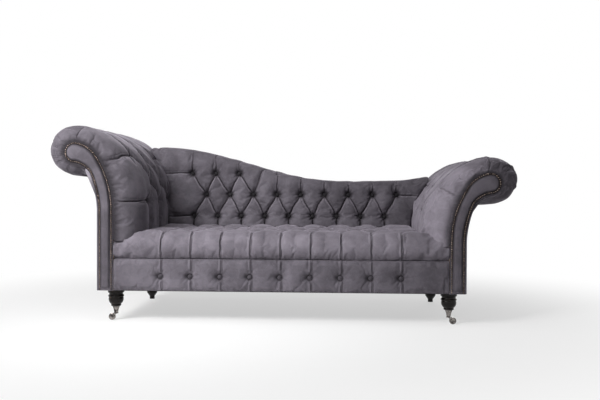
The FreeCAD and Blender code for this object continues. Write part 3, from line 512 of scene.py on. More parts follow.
def makePad(name, points, masks, inside, cover, node):
    # inside is a list of rows that lead back to the first row, behind the cover
    crease, lip, hold = masks
    points = relaxCloth(points, hold)
    extra = np.stack([*inside, points[0]])
    mesh, row, column = gridMesh(name, np.concatenate([points, extra]))
    # painted shade and highlight masks; the hidden rows behind the cover get painted shade
    for label, values, hidden in (("crease", crease, 0.9), ("lip", lip, 0.0)):
        addMask(mesh, label, np.concatenate([values, np.full(extra.shape[:2], hidden)])[row, column])
    bm = bmesh.new()
    bm.from_mesh(mesh)
    bmesh.ops.remove_doubles(bm, verts=bm.verts, dist=1e-6)
    bmesh.ops.holes_fill(bm, edges=[e for e in bm.edges if e.is_boundary])
    bmesh.ops.recalc_face_normals(bm, faces=bm.faces)
    bm.to_mesh(mesh)
    bm.free()
    piece = addPiece(name, mesh, cover, node)
    print("pad made:", name, len(mesh.vertices), "points")


# arm padding: a quarter curve inside, the roll on top, drawn in round the facing
armPad = {
    "reach": 0.343, "rise": 0.361, "drop": -0.240, "power": 1.8, "roll": 0.121, "rollEnd": math.radians(267),
    "tuck": 0.006, "tuckFade": 0.02, "rollRound": 0.110, "sideRound": 0.150, "blendBefore": 0.10,
    "blendRun": 0.16, "slack": 0.05,
    "rows": (-0.015, -0.145, -0.250), "columns": (0.215, 0.420, 0.625), "buttonSunk": 0.032,
    "under": ((0.096, -0.127), (0.045, -0.125), (-0.005, -0.121)),
    "rim": [            # round the facing, from under the roll over its top and down the inner side
        (0.099, -0.121), (0.058, -0.087), (0.010, -0.072), (-0.013, -0.058), (-0.033, -0.013),
        (-0.017, 0.024), (0.026, 0.045), (0.095, 0.022), (0.127, -0.011), (0.172, -0.080),
        (0.198, -0.145), (0.211, -0.197), (0.220, -0.250),
    ],
    "rimFoot": 0.222, "rimSmooth": 14, "shoulder": 0.088,
    "bend": 0.24,                                            # share of the columns on the rounding
    "core": ((0.180, -0.290), (0.124, -0.088)),
    "leftRest": 0.402, "rightRest": 0.380,         # heights where it meets the corner of the seat
    "restBlend": 0.012, "restDepth": 0.070, "restRun": 0.30,
    "rimShade": 0.85, "rimFade": 0.2, "lipStart": 0.45, "lipRun": 0.4, "edgeRun": 0.625, "endRun": 0.04,
    "turned": ((0.45, 0.20, 0.08), (0.55, 0.10, 0.13)),      # painted shade over the roll: share, start before the top of the roll, run
    "underShade": 0.9, "underStart": 0.05, "underRun": 0.03,
}


def armCurve(up):
    share = unit((up - armPad["drop"]) / armPad["rise"])
    return armPad["reach"] * (1 - share ** armPad["power"]) ** (1 / armPad["power"])


def armNormal(up):
    if up <= armPad["drop"]:
        return 1.0, 0.0
    power = armPad["power"] - 1
    across = (armCurve(up) / armPad["reach"]) ** power / armPad["reach"]
    rising = ((up - armPad["drop"]) / armPad["rise"]) ** power / armPad["rise"]
    size = math.hypot(across, rising)
    return across / size, rising / size


def smoothRow(values, width):
    kernel = np.hanning(2 * width + 3)
    kernel /= kernel.sum()
    before = 2 * values[0] - values[width + 1:0:-1]
    after = 2 * values[-1] - values[-2:-width - 3:-1]
    return np.convolve(np.concatenate([before, values, after]), kernel, "valid")


def armOutlines(rollZ):
    # full section and the rim at the facing, both from the seat up and over to the underside
    a = armPad
    foot = sofa["deckZ"] - rollZ
    upright = np.linspace(foot, a["drop"], 60)[:-1]
    rising = a["drop"] + a["rise"] * np.sin(np.linspace(0, 1, 300) * math.pi / 2)
    wall = len(upright) + len(rising)        # points up to the top of the roll
    angle = np.linspace(math.pi / 2, a["rollEnd"], 160)[1:]
    under = np.array(a["under"][::-1])
    below = np.linspace(under[0, 0], under[-1, 0], 40)[1:]
    upX = a["reach"] - a["tuck"] * np.exp(-(upright - foot) / a["tuckFade"])
    xs = [upX, armCurve(rising), a["roll"] * np.cos(angle), below]
    zs = [upright, rising, a["roll"] * np.sin(angle), np.interp(below, under[:, 0], under[:, 1])]
    full = np.stack([np.concatenate(xs), np.concatenate(zs)], axis=1)
    along = lengths(full)
    # where each mark of the rim meets the full section
    roll = a["roll"]
    slant = roll * math.sqrt(0.5)
    rows = a["rows"]
    ups = [a["shoulder"], rows[0], (rows[0] + rows[1]) / 2, rows[1], (rows[1] + rows[2]) / 2, rows[2]]
    meets = [*a["under"], (-slant, -slant), (-roll, 0), (-slant, slant), (0, roll)]
    meets += [(float(armCurve(up)), up) for up in ups]
    marks = [along[np.argmin(np.hypot(full[:, 0] - x, full[:, 1] - z))] for x, z in meets]
    low = (foot + rows[2]) / 2
    lowMark = along[np.argmin(np.abs(full[:wall, 1] - low))]
    rim = np.array([(a["rimFoot"] - a["tuck"], foot), (a["rimFoot"], low), *a["rim"][::-1]])
    return full, along, np.array([0.0, lowMark, *marks[::-1]]), rim, wall


def armPoint(side, rollZ, across, up, depth):
    return grid(side * (sofa["rollReach"] - across), frontY + depth, rollZ + up)


def makeArm(name, side, pattern, seed, rollShade, **changes):
    a = armPad
    rollZ = sofa[name + "Roll"]
    full, along, marks, rim, wall = armOutlines(rollZ)
    length = along[-1]
    s = np.linspace(0, length, countFor(length))
    fullX, fullZ = (np.interp(s, along, axis)[:, None] for axis in full.T)
    rimX, rimZ = (smoothRow(np.interp(s, marks, axis), a["rimSmooth"])[:, None] for axis in rim.T)
    s = s[:, None]
    past = s - along[wall - 1]               # beyond the top of the roll
    radius = even(a["sideRound"], a["rollRound"], ease((past + a["blendBefore"]) / a["blendRun"]))
    columns = countFor(panelDepth + a["slack"])
    u = np.linspace(0, 1, columns)[None, :]
    turn = unit(u / a["bend"]) * math.pi / 2
    straight = even(radius, panelDepth, (u - a["bend"]) / (1 - a["bend"]))
    depth = np.where(u < a["bend"], radius * (1 - np.cos(turn)), straight)
    fill = np.where(u < a["bend"], np.sin(turn), 1.0)
    sunk = ease((a[name + "Rest"] - rollZ - rimZ) / a["restBlend"])
    depth = depth + a["restDepth"] * sunk * unit(1 - depth / a["restRun"]) ** 2
    points = armPoint(side, rollZ, even(rimX, fullX, fill), even(rimZ, fullZ, fill), depth)
    upAt = lambda up: float(np.interp(up, full[:wall, 1], along[:wall]))
    rollAt = lambda degrees: upAt(a["roll"] - 1e-6) + a["roll"] * math.radians(degrees - 90)
    buttons, pleats, fine = pattern(upAt, rollAt)
    q = np.broadcast_to(s, depth.shape)
    lipShare = unit((fill - a["lipStart"]) / a["lipRun"])
    lift, crease, lip, hold = tuftLift(depth, q, buttons, pleats, fine, seed, lipShare, **changes)
    # painted shade at the rim, under the roll and over the top of the roll
    turned = sum(share * unit((past + before) / run) for share, before, run in a["turned"])
    for shade in (a["rimShade"] * bell(fill, a["rimFade"]), rollShade * turned,
                  a["underShade"] * unit((s - length + a["underStart"]) / a["underRun"])):
        crease = np.maximum(crease, shade)
    ends = np.minimum(unit(fill / a["edgeRun"]), unit((length - s) / a["endRun"]))
    points = raised(points, lift * ends, -side)
    core = (a["core"][1], a["core"][0], (a["core"][0][0], sofa["deckZ"] - rollZ))
    inside = [armPoint(side, rollZ, x, z, depth[0]) for x, z in core]
    makePad(name + "ArmPad", points, (crease, lip, hold), inside, name + "ArmVelvet", name + "_arm_pad")


# a pleat is its start, its end and its strength at both, with places as depth and distance up the arm
def tuftedArm(upAt):
    first, second, third = armPad["columns"]
    high, middle, low = (upAt(up) for up in armPad["rows"])
    upper = [(y, high) for y in armPad["columns"]]
    mid = [((first + second) / 2, middle), ((second + third) / 2, middle)]
    lower = [(y, low) for y in armPad["columns"]]
    return upper, mid, lower


def gathers(at, marks, climb, last):
    # short pleats back from the rim: where each starts, how far it reaches and its strength
    return [((0.0, at(start)), (reach, at(start + climb)), first, last) for start, reach, first in marks]


rollClimb, nailClimb = -4, 0.011             # degrees round the roll, metres beside the nails


def leftPattern(upAt, rollAt):
    upper, mid, lower = tuftedArm(upAt)
    high, low = upper[0][1], lower[0][1]
    pleats = []
    for number, spot in enumerate(mid):
        pleats += [(spot, top, 1.0, 1.0) for top in upper[number:number + 2]]
        pleats += [(foot, spot, 1.0, 1.0) for foot in lower[number:number + 2]]
    pleats += [(spot, (spot[0] - 0.03, high + 0.34), 1.0, 0.25) for spot in upper]     # over the roll
    pleats += [(spot, (spot[0], 0.0), 1.0, 0.8) for spot in lower]
    pleats += [
        (lower[0], (0.0, low - 0.006), 0.9, 0.6),            # to the facing
        (upper[0], (0.07, high - 0.016), 0.9, 0.7),
        ((0.07, high - 0.016), (0.0, high - 0.052), 0.7, 0.6),
        (lower[-1], (panelDepth, low), 0.9, 0.6),            # to the back
        (upper[-1], (panelDepth, high - 0.01), 0.9, 0.6),
        ((0.0, upAt(0.082)), (0.045, upAt(0.088)), 0.8, 0.1),
        ((0.0, rollAt(78)), (0.10, rollAt(72)), 0.9, 0.5),   # seam over the roll front
    ]
    pleats += gathers(rollAt, ((135, 0.07, 0.2), (164, 0.12, 0.5), (182, 0.06, 0.2), (198, 0.11, 0.5),
                               (216, 0.10, 0.4), (257, 0.09, 0.3)), rollClimb, 0.05)
    pleats += gathers(upAt, ((-0.030, 0.020, 0.14), (-0.083, 0.018, 0.14), (-0.118, 0.026, 0.10),
                             (-0.176, 0.018, 0.10)), nailClimb, 0.0)
    fine = [((lower[0][0], low + 0.010), (0.0, low + 0.006), 0.9, 0.7),
            ((upper[0][0], high + 0.011), (0.07, high - 0.004), 0.9, 0.8),
            ((0.07, high - 0.004), (0.0, high - 0.038), 0.8, 0.7)]
    fine += gathers(rollAt, ((135, 0.06, 0.6), (166, 0.11, 1.2), (200, 0.10, 1.3), (218, 0.08, 0.9),
                             (259, 0.07, 0.8)), rollClimb, 0.2)
    return upper + mid + lower, pleats, fine


def rightPattern(upAt, rollAt):
    upper, mid, lower = tuftedArm(upAt)
    high, low = upper[0][1], lower[0][1]
    pleats = []
    for number, spot in enumerate(mid):
        pleats += [(spot, top, 0.55, 0.55) for top in upper[number:number + 2]]
        pleats.append((spot, (spot[0], low - 0.08), 0.6, 0.05))
    pleats += [(spot, (spot[0] - 0.03, high + 0.34), 0.6, 0.2) for spot in upper]
    pleats.append((upper[-1], (panelDepth, high - 0.01), 0.7, 0.5))
    slant = [(0.0, -0.085), (0.006, -0.069), (0.022, -0.055), (0.055, -0.041), (0.110, -0.030)]
    pleats += [((near, upAt(foot)), (far, upAt(head)), 0.5 - 2 * near, 0.5 - 2 * far)  # crease to the facing
               for (near, foot), (far, head) in zip(slant, slant[1:])]
    pleats.append(((0.020, upAt(0.020)), (0.045, upAt(0.040)), 0.4, 0.1))
    pleats.append(((0.0, rollAt(82)), (0.10, rollAt(80)), 0.9, 0.5))       # seam over the roll front
    pleats += gathers(rollAt, ((112, 0.06, 0.2), (136, 0.12, 0.45), (163, 0.10, 0.3), (187, 0.12, 0.45),
                               (214, 0.07, 0.2), (243, 0.08, 0.2)), rollClimb, 0.05)
    pleats += gathers(upAt, ((-0.020, 0.020, 0.2), (-0.105, 0.026, 0.2), (-0.150, 0.020, 0.2)),
                      nailClimb, 0.0)
    fine = gathers(rollAt, ((138, 0.11, 1.3), (165, 0.09, 1.0), (189, 0.11, 1.3), (245, 0.06, 0.6)),
                   rollClimb, 0.3)
    return upper + mid, pleats, fine


makeArm("left", -1, leftPattern, seed=11, rollShade=0.0)
makeArm("right", 1, rightPattern, seed=23, rollShade=0.62, foldShade=0.15)


# tufted back with its swept top
backPad = {
    "face": 0.631, "bendZ": 0.450, "rake": math.radians(9.5), "rear": 0.797,
    "half": 0.77, "plain": 0.60, "faceLength": 0.47, "crestLength": 0.19,
    "high": 0.895, "low": 0.700, "fallStart": -0.760, "fallEnd": 0.300,
    "riseStart": 0.560, "riseEnd": 0.840, "rise": 0.043,
    "pitch": 0.137, "rows": (0.507, 0.630, 0.752), "topShift": -0.018,
    "shoulder": 0.022, "tuck": 0.006, "tuckShare": 0.07, "footTuck": 0.020, "footShare": 0.12,
    "crestRun": 0.062, "crestDrop": 0.030, "lip": 0.048,
    "crestShares": (0.36, 0.92),                   # the front edge, then the top, then the lip
    "rightShade": 0.25, "rightShadeStart": 0.05, "rightShadeRun": 0.6,
    "lowShade": (0.011, -0.026, 0.030, 0.85),      # width, offset, height and depth of shade at the buttons
    "highShade": (0.009, 0.024, 0.020, 0.72),
    "lipRun": 0.04, "endRun": 0.25,
}


def backTop(x):
    b = backPad
    share = unit((x - b["fallStart"]) / (b["fallEnd"] - b["fallStart"]))
    height = b["high"] - (b["high"] - b["low"]) * (1 - np.cos(math.pi * share)) / 2
    past = np.maximum(0, x - b["riseStart"]) / (b["riseEnd"] - b["riseStart"])
    return height + b["rise"] * past ** 2


def backFront(z):
    return backPad["face"] + np.maximum(0, z - backPad["bendZ"]) * math.tan(backPad["rake"])


def backEnd(rollZ, z):
    # where the back meets the padding of an arm
    return sofa["rollReach"] - armCurve(z - rollZ) - sofa["softGap"]


def backPattern():
    half = backPad["pitch"] / 2
    bottomZ, middleZ, topZ = backPad["rows"]
    bottom = {k: (half * k, bottomZ) for k in range(-8, 9, 2)}
    middle = {k: (half * k, middleZ) for k in range(-7, 10, 2)}
    top = {k: (half * k + backPad["topShift"], topZ) for k in range(-8, -3, 2)}
    overCrest = lambda spot, first: (spot, (spot[0], float(backTop(spot[0])) + 0.02), first, 0.12)
    pleats, fine = [], []
    for k, (x, z) in middle.items():
        for near in (k - 1, k + 1):
            if near in bottom:
                pleats.append((bottom[near], (x, z), 1.0, 1.0))
            if near in top:
                pleats.append(((x, z), top[near], 1.0, 1.0))
        if k > -3:
            pleats.append(overCrest((x, z), 1.0))
        if k - 1 in bottom:                  # a second fold beside those that fall to the left
            fine.append(((bottom[k - 1][0] + 0.010, bottomZ - 0.004), (x + 0.010, z - 0.004), 0.8, 0.8))
    pleats += [overCrest(spot, 0.9) for spot in top.values()]
    x, z = middle[-3]                        # slanted pleat under the fall of the top
    pleats.append(((x, z), (x + 0.062, z + 0.165), 0.9, 0.6))
    fine.append(((x + 0.013, z), (x + 0.075, z + 0.160), 0.9, 0.9))
    pleats += [(spot, (spot[0], 0.25), 1.5, 1.9) for spot in bottom.values()]
    for start, end in ((top[-8], (-0.90, topZ - 0.012)), (bottom[-8], (-0.80, bottomZ - 0.012)),
                       (middle[9], (0.85, middleZ - 0.02))):
        pleats.append((start, end, 0.9, 0.6))
        fine.append(((start[0], start[1] + 0.010), (end[0], end[1] + 0.010), 0.7, 0.6))
    return [*bottom.values(), *middle.values(), *top.values()], pleats, fine


def makeBack():
    b = backPad
    half, plain, lowZ = b["half"], b["plain"], sofa["deckZ"]
    columns, faceRows = countFor(2 * half), countFor(b["faceLength"])
    u = np.linspace(-half, half, columns)[None, :]
    inner = np.minimum(np.abs(u), plain)
    outer = np.maximum(0, np.abs(u) - plain) / (half - plain)
    share = np.linspace(0, 1, faceRows)[:, None]
    x = np.broadcast_to(u, (faceRows, columns))
    for _ in range(3):                       # the ends lean with the arms
        z = even(lowZ, backTop(x) - b["shoulder"], share)
        limit = np.where(u < 0, backEnd(sofa["leftRoll"], z), backEnd(sofa["rightRoll"], z))
        x = np.sign(u) * (inner + outer * (limit - plain))
    y = backFront(z) + b["tuck"] * unit(1 - (1 - share) / b["tuckShare"]) ** 2
    y = y + b["footTuck"] * unit(1 - share / b["footShare"]) ** 2
    # over the crest and down to the lip behind
    turn = np.linspace(0, 1, countFor(b["crestLength"]))[1:, None]
    front, rear = b["crestShares"]
    frontTurn = unit(turn / front) * math.pi / 2
    rearTurn = unit((turn - front) / (rear - front)) * math.pi / 2
    drop = unit((turn - rear) / (1 - rear))
    crestY = y[-1] + b["crestRun"] * (1 - np.cos(frontTurn))
    crestY = crestY + (panelDepth - y[-1] - b["crestRun"]) * np.sin(rearTurn)
    crestZ = z[-1] + b["shoulder"] * np.sin(frontTurn) - b["crestDrop"] * (1 - np.cos(rearTurn))
    crestZ = crestZ - (b["lip"] - b["crestDrop"]) * drop
    points = np.concatenate([grid(x, frontY + y, z), grid(x[-1], frontY + crestY, crestZ)])
    step = np.linalg.norm(np.diff(points[faceRows - 1:], axis=0), axis=2)
    p, q = points[..., 0], np.concatenate([z, z[-1] + np.cumsum(step, axis=0)])
    buttons, pleats, fine = backPattern()
    lift, crease, lip, hold = tuftLift(p, q, buttons, pleats, fine, seed=37, pit=0.026, pitWidth=0.020,
                                       pitShade=0.015)
    # painted shade growing towards the right, and deep painted shade above the upper tufts and below the lowest
    crease = np.maximum(crease, b["rightShade"] * unit((p - b["rightShadeStart"]) / b["rightShadeRun"]))
    for bx, bz in buttons:
        width, offset, height, shade = b["lowShade" if bz == b["rows"][0] else "highShade"]
        crease = np.maximum(crease, shade * bell(np.hypot((p - bx) / width, (q - bz - offset) / height), 1))
    fade = unit(np.linspace(1, 0, len(points))[:, None] / b["lipRun"])
    points = raised(points, lift * fade * unit((1 - outer) / b["endRun"]))
    rearY = frontY + b["rear"]
    inside = [grid(points[-1, :, 0], rearY, points[-1, :, 2]), grid(points[0, :, 0], rearY, lowZ)]
    makePad("backPad", points, (crease, lip, hold), inside, "backVelvet", "back_pad")


makeBack()


# sprung seat, tufted on top, with pleats down its front
seatPad = {
    "crown": 0.447, "pitch": 0.147, "rows": (0.150, 0.275, 0.400, 0.525), "rear": 0.624, "width": 1.50,
    "tufted": 0.62, "tuftedShare": 0.86,           # half width with buttons, and its share of the columns
    "plain": 0.690, "cornerRun": 0.128, "leftDrop": 0.042, "rightDrop": 0.064, "dropBlend": 0.25,
    "dropRound": 0.010, "cornerDepth": 0.060, "cornerBlend": 0.012, "cornerReach": 0.008,
    "front": ((0.016, 0.316), (0.003, 0.334), (0.0, 0.362), (0.004, 0.390), (0.014, 0.412), (0.034, 0.432),
              (0.060, 0.443), (0.090, 0.447)),
    "flat": (0.12, 0.10, 12),                      # start, room left before the rear, and marks
    "rearRound": ((0.075, 0.0), (0.040, 0.006), (0.018, 0.018), (0.004, 0.036), (0.0, 0.060)),
    "smooth": 6, "baseZ": 0.300, "frontInside": 0.036,
    "swell": 0.8, "hollow": 0.004, "hollowAt": 0.12, "hollowRun": 0.14,
    # pale: the painted highlight on the front folds, in uneven patches
    "pale": 0.75, "paleAt": 0.100, "paleRun": 0.065, "paleX": -0.1, "paleMost": 1.2, "paleWidth": 0.8,
    "patches": 0.09, "patchStretch": 0.4, "patchMean": 0.6, "patchShare": 0.5,
    "footShade": 0.30, "footRun": 0.050, "backRise": 0.010, "riseStart": 0.40, "riseRun": 0.20,
    "endRun": 0.3, "footFree": 0.012, "rearFree": 0.03,
}


def seatPath():
    s = seatPad
    start, room, count = s["flat"]
    marks = [*s["front"], *[(y, s["crown"]) for y in np.linspace(start, s["rear"] - room, count)]]
    marks += [(s["rear"] - before, s["crown"] - below) for before, below in s["rearRound"]]
    marks = np.array(marks)
    along = lengths(marks)
    spots = np.linspace(0, along[-1], countFor(along[-1]))
    depth, height = (smoothRow(np.interp(spots, along, axis), s["smooth"]) for axis in marks.T)
    return depth[:, None], height[:, None], spots[:, None], np.interp(s["rows"], depth, spots)


def seatLimit(depth):
    # full width at the front corners, then in behind the arm padding
    past = unit((depth - seatPad["cornerDepth"]) / seatPad["cornerBlend"])
    share = unit(depth / armPad["sideRound"]) * past
    fill = np.sqrt(1 - (1 - share) ** 2)
    padding = even(armPad["rimFoot"] - seatPad["cornerReach"], armPad["reach"], fill)
    return sofa["rollReach"] - padding - sofa["softGap"]


def seatPattern(rowSpots):
    half = seatPad["pitch"] / 2
    rows = []
    for number, spot in enumerate(rowSpots):
        columns = range(-8, 9, 2) if number % 2 == 0 else range(-7, 8, 2)
        rows.append({k: (half * k, float(spot)) for k in columns})
    pleats, fine = [], []
    for near, far in zip(rows, rows[1:]):
        for k, spot in near.items():
            pleats += [(spot, far[other], 1.0, 1.0) for other in (k - 1, k + 1) if other in far]
    for x, spot in rows[0].values():         # pleats over the edge and down to the seam, a fine fold beside
        pleats.append(((x, spot), (x + 0.009, 0.150), 1.0, 0.60))
        pleats.append(((x + 0.009, 0.150), (x + 0.009, -0.02), 0.55, 0.40))
        fine.append(((x - 0.003, spot), (x - 0.003, -0.02), 1.0, 1.0))
    pleats += [((x, spot), (x, spot + 0.3), 1.2, 1.6) for x, spot in rows[-1].values()]
    for row in (rows[0], rows[2]):
        for k, way in ((-8, -1), (8, 1)):
            pleats.append((row[k], (row[k][0] + way * 0.3, row[k][1] + 0.01), 0.7, 0.4))
    return [spot for row in rows for spot in row.values()], pleats, fine


def makeSeat():
    s = seatPad
    depth, height, spots, rowSpots = seatPath()
    u = np.linspace(-1, 1, countFor(s["width"]))[None, :]
    inner = unit(np.abs(u) / s["tuftedShare"]) * s["tufted"]
    outer = unit((np.abs(u) - s["tuftedShare"]) / (1 - s["tuftedShare"]))
    x = np.sign(u) * (inner + outer * (seatLimit(depth) - s["tufted"]))
    past = unit((np.abs(x) - s["plain"]) / s["cornerRun"])
    drop = np.where(x < 0, s["leftDrop"], s["rightDrop"])
    above = height - (s["crown"] - drop * past ** 2)
    fall = (above + np.hypot(above, s["dropRound"])) / 2           # the corners are cut to a falling top
    points = grid(x, frontY + depth, height - fall * unit(past / s["dropBlend"]))
    buttons, pleats, fine = seatPattern(rowSpots)
    q = np.broadcast_to(spots, x.shape)
    lift, crease, lip, hold = tuftLift(x, q, buttons, pleats, fine, seed=51, pit=0.022, lumpSize=0.13,
                                       lump=0.002, fold=0.009, lip=0.0016, foldShade=0.03, creaseWidth=0.0025,
                                       ridgeLight=0.55, grooveShade=0.8)
    # the stuffing stands fullest in the middle of each front fold, and rises a little towards the back
    swell = np.abs(np.sin(math.pi * (x / s["pitch"] + 0.5))) ** s["swell"]
    onFront = unit(1 - np.abs(spots - s["hollowAt"]) / s["hollowRun"])
    lift = lift - s["hollow"] * (1 - swell) * onFront * (np.abs(x) < s["tufted"])
    lift = lift + s["backRise"] * ease((depth - s["riseStart"]) / s["riseRun"])
    # painted highlight on the upper part of each fold, painted shade darker down to the seam
    pale = swell ** 2 * unit(1 - np.abs(spots - s["paleAt"]) / s["paleRun"])
    patches = s["patchMean"] + s["patchShare"] * lumps(x, q * s["patchStretch"], s["patches"], seed=53)
    pale = pale * patches * unit(s["paleMost"] - np.abs(x - s["paleX"]) / s["paleWidth"])
    lip = np.maximum(lip, unit(s["pale"] * pale))
    crease = np.maximum(crease, s["footShade"] * unit(1 - spots / s["footRun"]))
    ends = unit(spots / s["footFree"]) * unit((spots[-1] - spots) / s["rearFree"])
    points = raised(points, lift * ends * unit((1 - outer) / s["endRun"]))
    corners = ((s["rear"], s["baseZ"]), (s["frontInside"], s["baseZ"]), (s["frontInside"], sofa["seamZ"]))
    inside = [grid(u[0] * seatLimit(np.array(y)), frontY + y, z) for y, z in corners]
    makePad("seatPad", points, (crease, lip, hold), inside, "seatVelvet", "seat_pad")


makeSeat()


# buttoned border under the seat
borderPad = {
    "reach": 0.818, "topZ": 0.314, "buttonZ": 0.228, "face": 0.003, "back": 0.033,
    "edge": 0.013, "edgePower": 7, "slack": 0.02,
    "crowd": 0.9 * math.pi / 2,                    # the rows stand closer at the edges
    "pleatBeside": 0.012, "pleatPast": 0.05,
    "buttonShadeAt": (-0.014, 0.002), "buttonShadeSize": (0.017, 0.014), "buttonShade": 0.88,
    "rightShade": 0.14, "rightShadeStart": 0.1, "rightShadeRun": 0.5, "edgeRun": 0.04, "endRun": 0.02,
}


def makeBorder():
    b = borderPad
    rows, columns = countFor(b["topZ"] - railZ + b["slack"]), countFor(2 * b["reach"])
    x = np.broadcast_to(np.linspace(-b["reach"], b["reach"], columns)[None, :], (rows, columns))
    share = np.linspace(-1, 1, rows)[:, None]
    z = even(railZ, b["topZ"], (np.sin(share * b["crowd"]) / math.sin(b["crowd"]) + 1) / 2)
    points = grid(x, frontY + b["face"] + b["edge"] * np.abs(share) ** b["edgePower"], z)
    q = np.broadcast_to(z, x.shape)
    spots = [(seatPad["pitch"] / 2 * k, b["buttonZ"]) for k in range(-8, 9, 2)]
    low, high, beside = railZ - b["pleatPast"], b["topZ"] + b["pleatPast"], b["pleatBeside"]
    pleats = [((px + beside, low), (px + beside, high), 0.6, 0.6) for px, _ in spots]
    fine = [((px, low), (px, high), 0.9, 0.9) for px, _ in spots]
    lift, crease, lip, hold = tuftLift(x, q, spots, pleats, fine, seed=67, fold=0.004, foldWidth=0.010,
                                       pit=0.012, pitWidth=0.016, lip=0.0010, lump=0.0012, pitShade=0.007,
                                       foldShade=0.03, creaseWidth=0.0025, grooveShade=0.8)
    (besideX, besideZ), (width, height) = b["buttonShadeAt"], b["buttonShadeSize"]
    for px, pz in spots:                     # painted shade to one side of each button
        buttonShade = np.hypot((x - px - besideX) / width, (q - pz - besideZ) / height)
        crease = np.maximum(crease, b["buttonShade"] * bell(buttonShade, 1))
    # painted shade growing towards the right
    crease = np.maximum(crease, b["rightShade"] * unit((x - b["rightShadeStart"]) / b["rightShadeRun"]))
    ends = unit((1 - np.abs(share)) / b["edgeRun"]) * unit((b["reach"] - np.abs(x)) / b["endRun"])
    points[..., 1] -= lift * ends
    inside = [grid(x[0], frontY + b["back"], level) for level in (b["topZ"], railZ)]
    makePad("frontBorder", points, (crease, lip, hold), inside, "borderVelvet", "front_border")


makeBorder()


# pieces of a node that stand apart, as the centres of their surfaces
def islandCentres(node):
    bm = bmesh.new()
    bm.from_mesh(nodes[node].data)
    bmesh.ops.remove_doubles(bm, verts=bm.verts, dist=1e-5)
    waiting = dict.fromkeys(bm.faces)        # keeps their order, so that each run adds them up alike
    centres = []
    while waiting:
        group = [waiting.popitem()[0]]
        for face in group:                   # the group grows as neighbours are found
            fresh = dict.fromkeys(f for side in face.edges for f in side.link_faces if f in waiting)
            for other in fresh:
                del waiting[other]
            group += fresh
        area = sum(f.calc_area() for f in group)
        centres.append(sum((f.calc_center_median() * f.calc_area() for f in group), Vector()) / area)
    bm.free()
    return sorted(centres, key=lambda c: (round(c.z, 4), round(c.x, 4), round(c.y, 4)))


def lathe(turned):
    # the profile is given as shares of the radius and heights
    bm = bmesh.new()
    verts = [bm.verts.new((turned["radius"] * share, 0, z)) for share, z in turned["profile"]]
    edges = [bm.edges.new(pair) for pair in zip(verts, verts[1:])]
    bmesh.ops.spin(bm, geom=verts + edges, cent=(0, 0, 0), axis=(0, 0, 1), angle=2 * math.pi,
                   steps=turned["steps"], use_merge=True)
    bmesh.ops.remove_doubles(bm, verts=bm.verts, dist=1e-6)
    bmesh.ops.recalc_face_normals(bm, faces=bm.faces)
    return toMesh(bm, "turned")


def scatter(name, template, places):
    bm = bmesh.new()
    for place in places:
        before = len(bm.verts)
        bm.from_mesh(template)
        bm.verts.ensure_lookup_table()
        bmesh.ops.transform(bm, matrix=place, verts=bm.verts[before:])
    return toMesh(bm, name)


# covered buttons
button = {
    "radius": 0.0118, "steps": 16, "centroid": 0.0029, "spin": 0.7,
    "profile": ((0, 0), (0.86, 0), (1, 0.0016), (0.97, 0.0042), (0.80, 0.0066), (0.48, 0.0083), (0, 0.0090)),
}
buttonMesh = lathe(button)


def makeButtons(name, node, normalAt, cover):
    places = []
    for number, centre in enumerate(islandCentres(node)):
        normal = normalAt(centre)
        turn = normal.to_track_quat("Z", "Y").to_matrix().to_4x4()
        spin = Matrix.Rotation(number * button["spin"], 4, "Z")
        places.append(Matrix.Translation(centre - normal * button["centroid"]) @ turn @ spin)
    piece = addPiece(name, scatter(name, buttonMesh, places), cover, node)
    print("buttons made:", name, len(places))


def armButtonNormal(side, rollZ):
    def normalAt(centre):
        # the button sits below the curve, so its height is stepped back up the slope
        gap = lambda row: abs(rollZ + row - armPad["buttonSunk"] * armNormal(row)[1] - centre.z)
        across, rising = armNormal(min(armPad["rows"], key=gap))
        return Vector((-side * across, 0, rising))
    return normalAt


makeButtons("leftArmButtons", "left_arm_buttons", armButtonNormal(-1, sofa["leftRoll"]), "sunkVelvet")
makeButtons("rightArmButtons", "right_arm_buttons", armButtonNormal(1, sofa["rightRoll"]), "sunkVelvet")
rakeNormal = Vector((0, -math.cos(backPad["rake"]), math.sin(backPad["rake"])))
makeButtons("backButtons", "back_buttons", lambda centre: rakeNormal, "sunkVelvet")
makeButtons("seatButtons", "seat_buttons", lambda centre: Vector((0, 0, 1)), "sunkVelvet")
makeButtons("borderButtons", "border_buttons", lambda centre: Vector((0, -1, 0)), "buttonVelvet")


# padded facings on the arm fronts
facing = {"steps": ((0.002, 0.0004), (0.0045, 0.0004), (0.006, 0.0004), (0.0025, 0.0034), (0.003, 0.0040),
                    (0.003, 0.0026), (0.003, 0.0012)),
          "groove": 0.0125, "fade": 0.0078, "shade": 0.92, "shadePower": 0.8, "footClear": 0.012}


squareOn = 0.99                # cosine for faces that look straight along the depth


def mergedCopy(node):
    bm = bmesh.new()
    bm.from_mesh(nodes[node].data)
    bmesh.ops.remove_doubles(bm, verts=bm.verts, dist=1e-5)
    bmesh.ops.dissolve_limit(bm, angle_limit=math.radians(0.5), verts=bm.verts, edges=bm.edges)
    return bm


def stuff(bm, faces, steps, way, evenly):
    # rings inset one after another, each standing further out
    for inset, rise in steps:
        bmesh.ops.inset_region(bm, faces=faces, thickness=inset, depth=0.0, use_even_offset=evenly,
                               use_boundary=True)
        bmesh.ops.translate(bm, vec=(0, way * rise, 0), verts=list({v for f in faces for v in f.verts}))
    bmesh.ops.triangulate(bm, faces=faces)


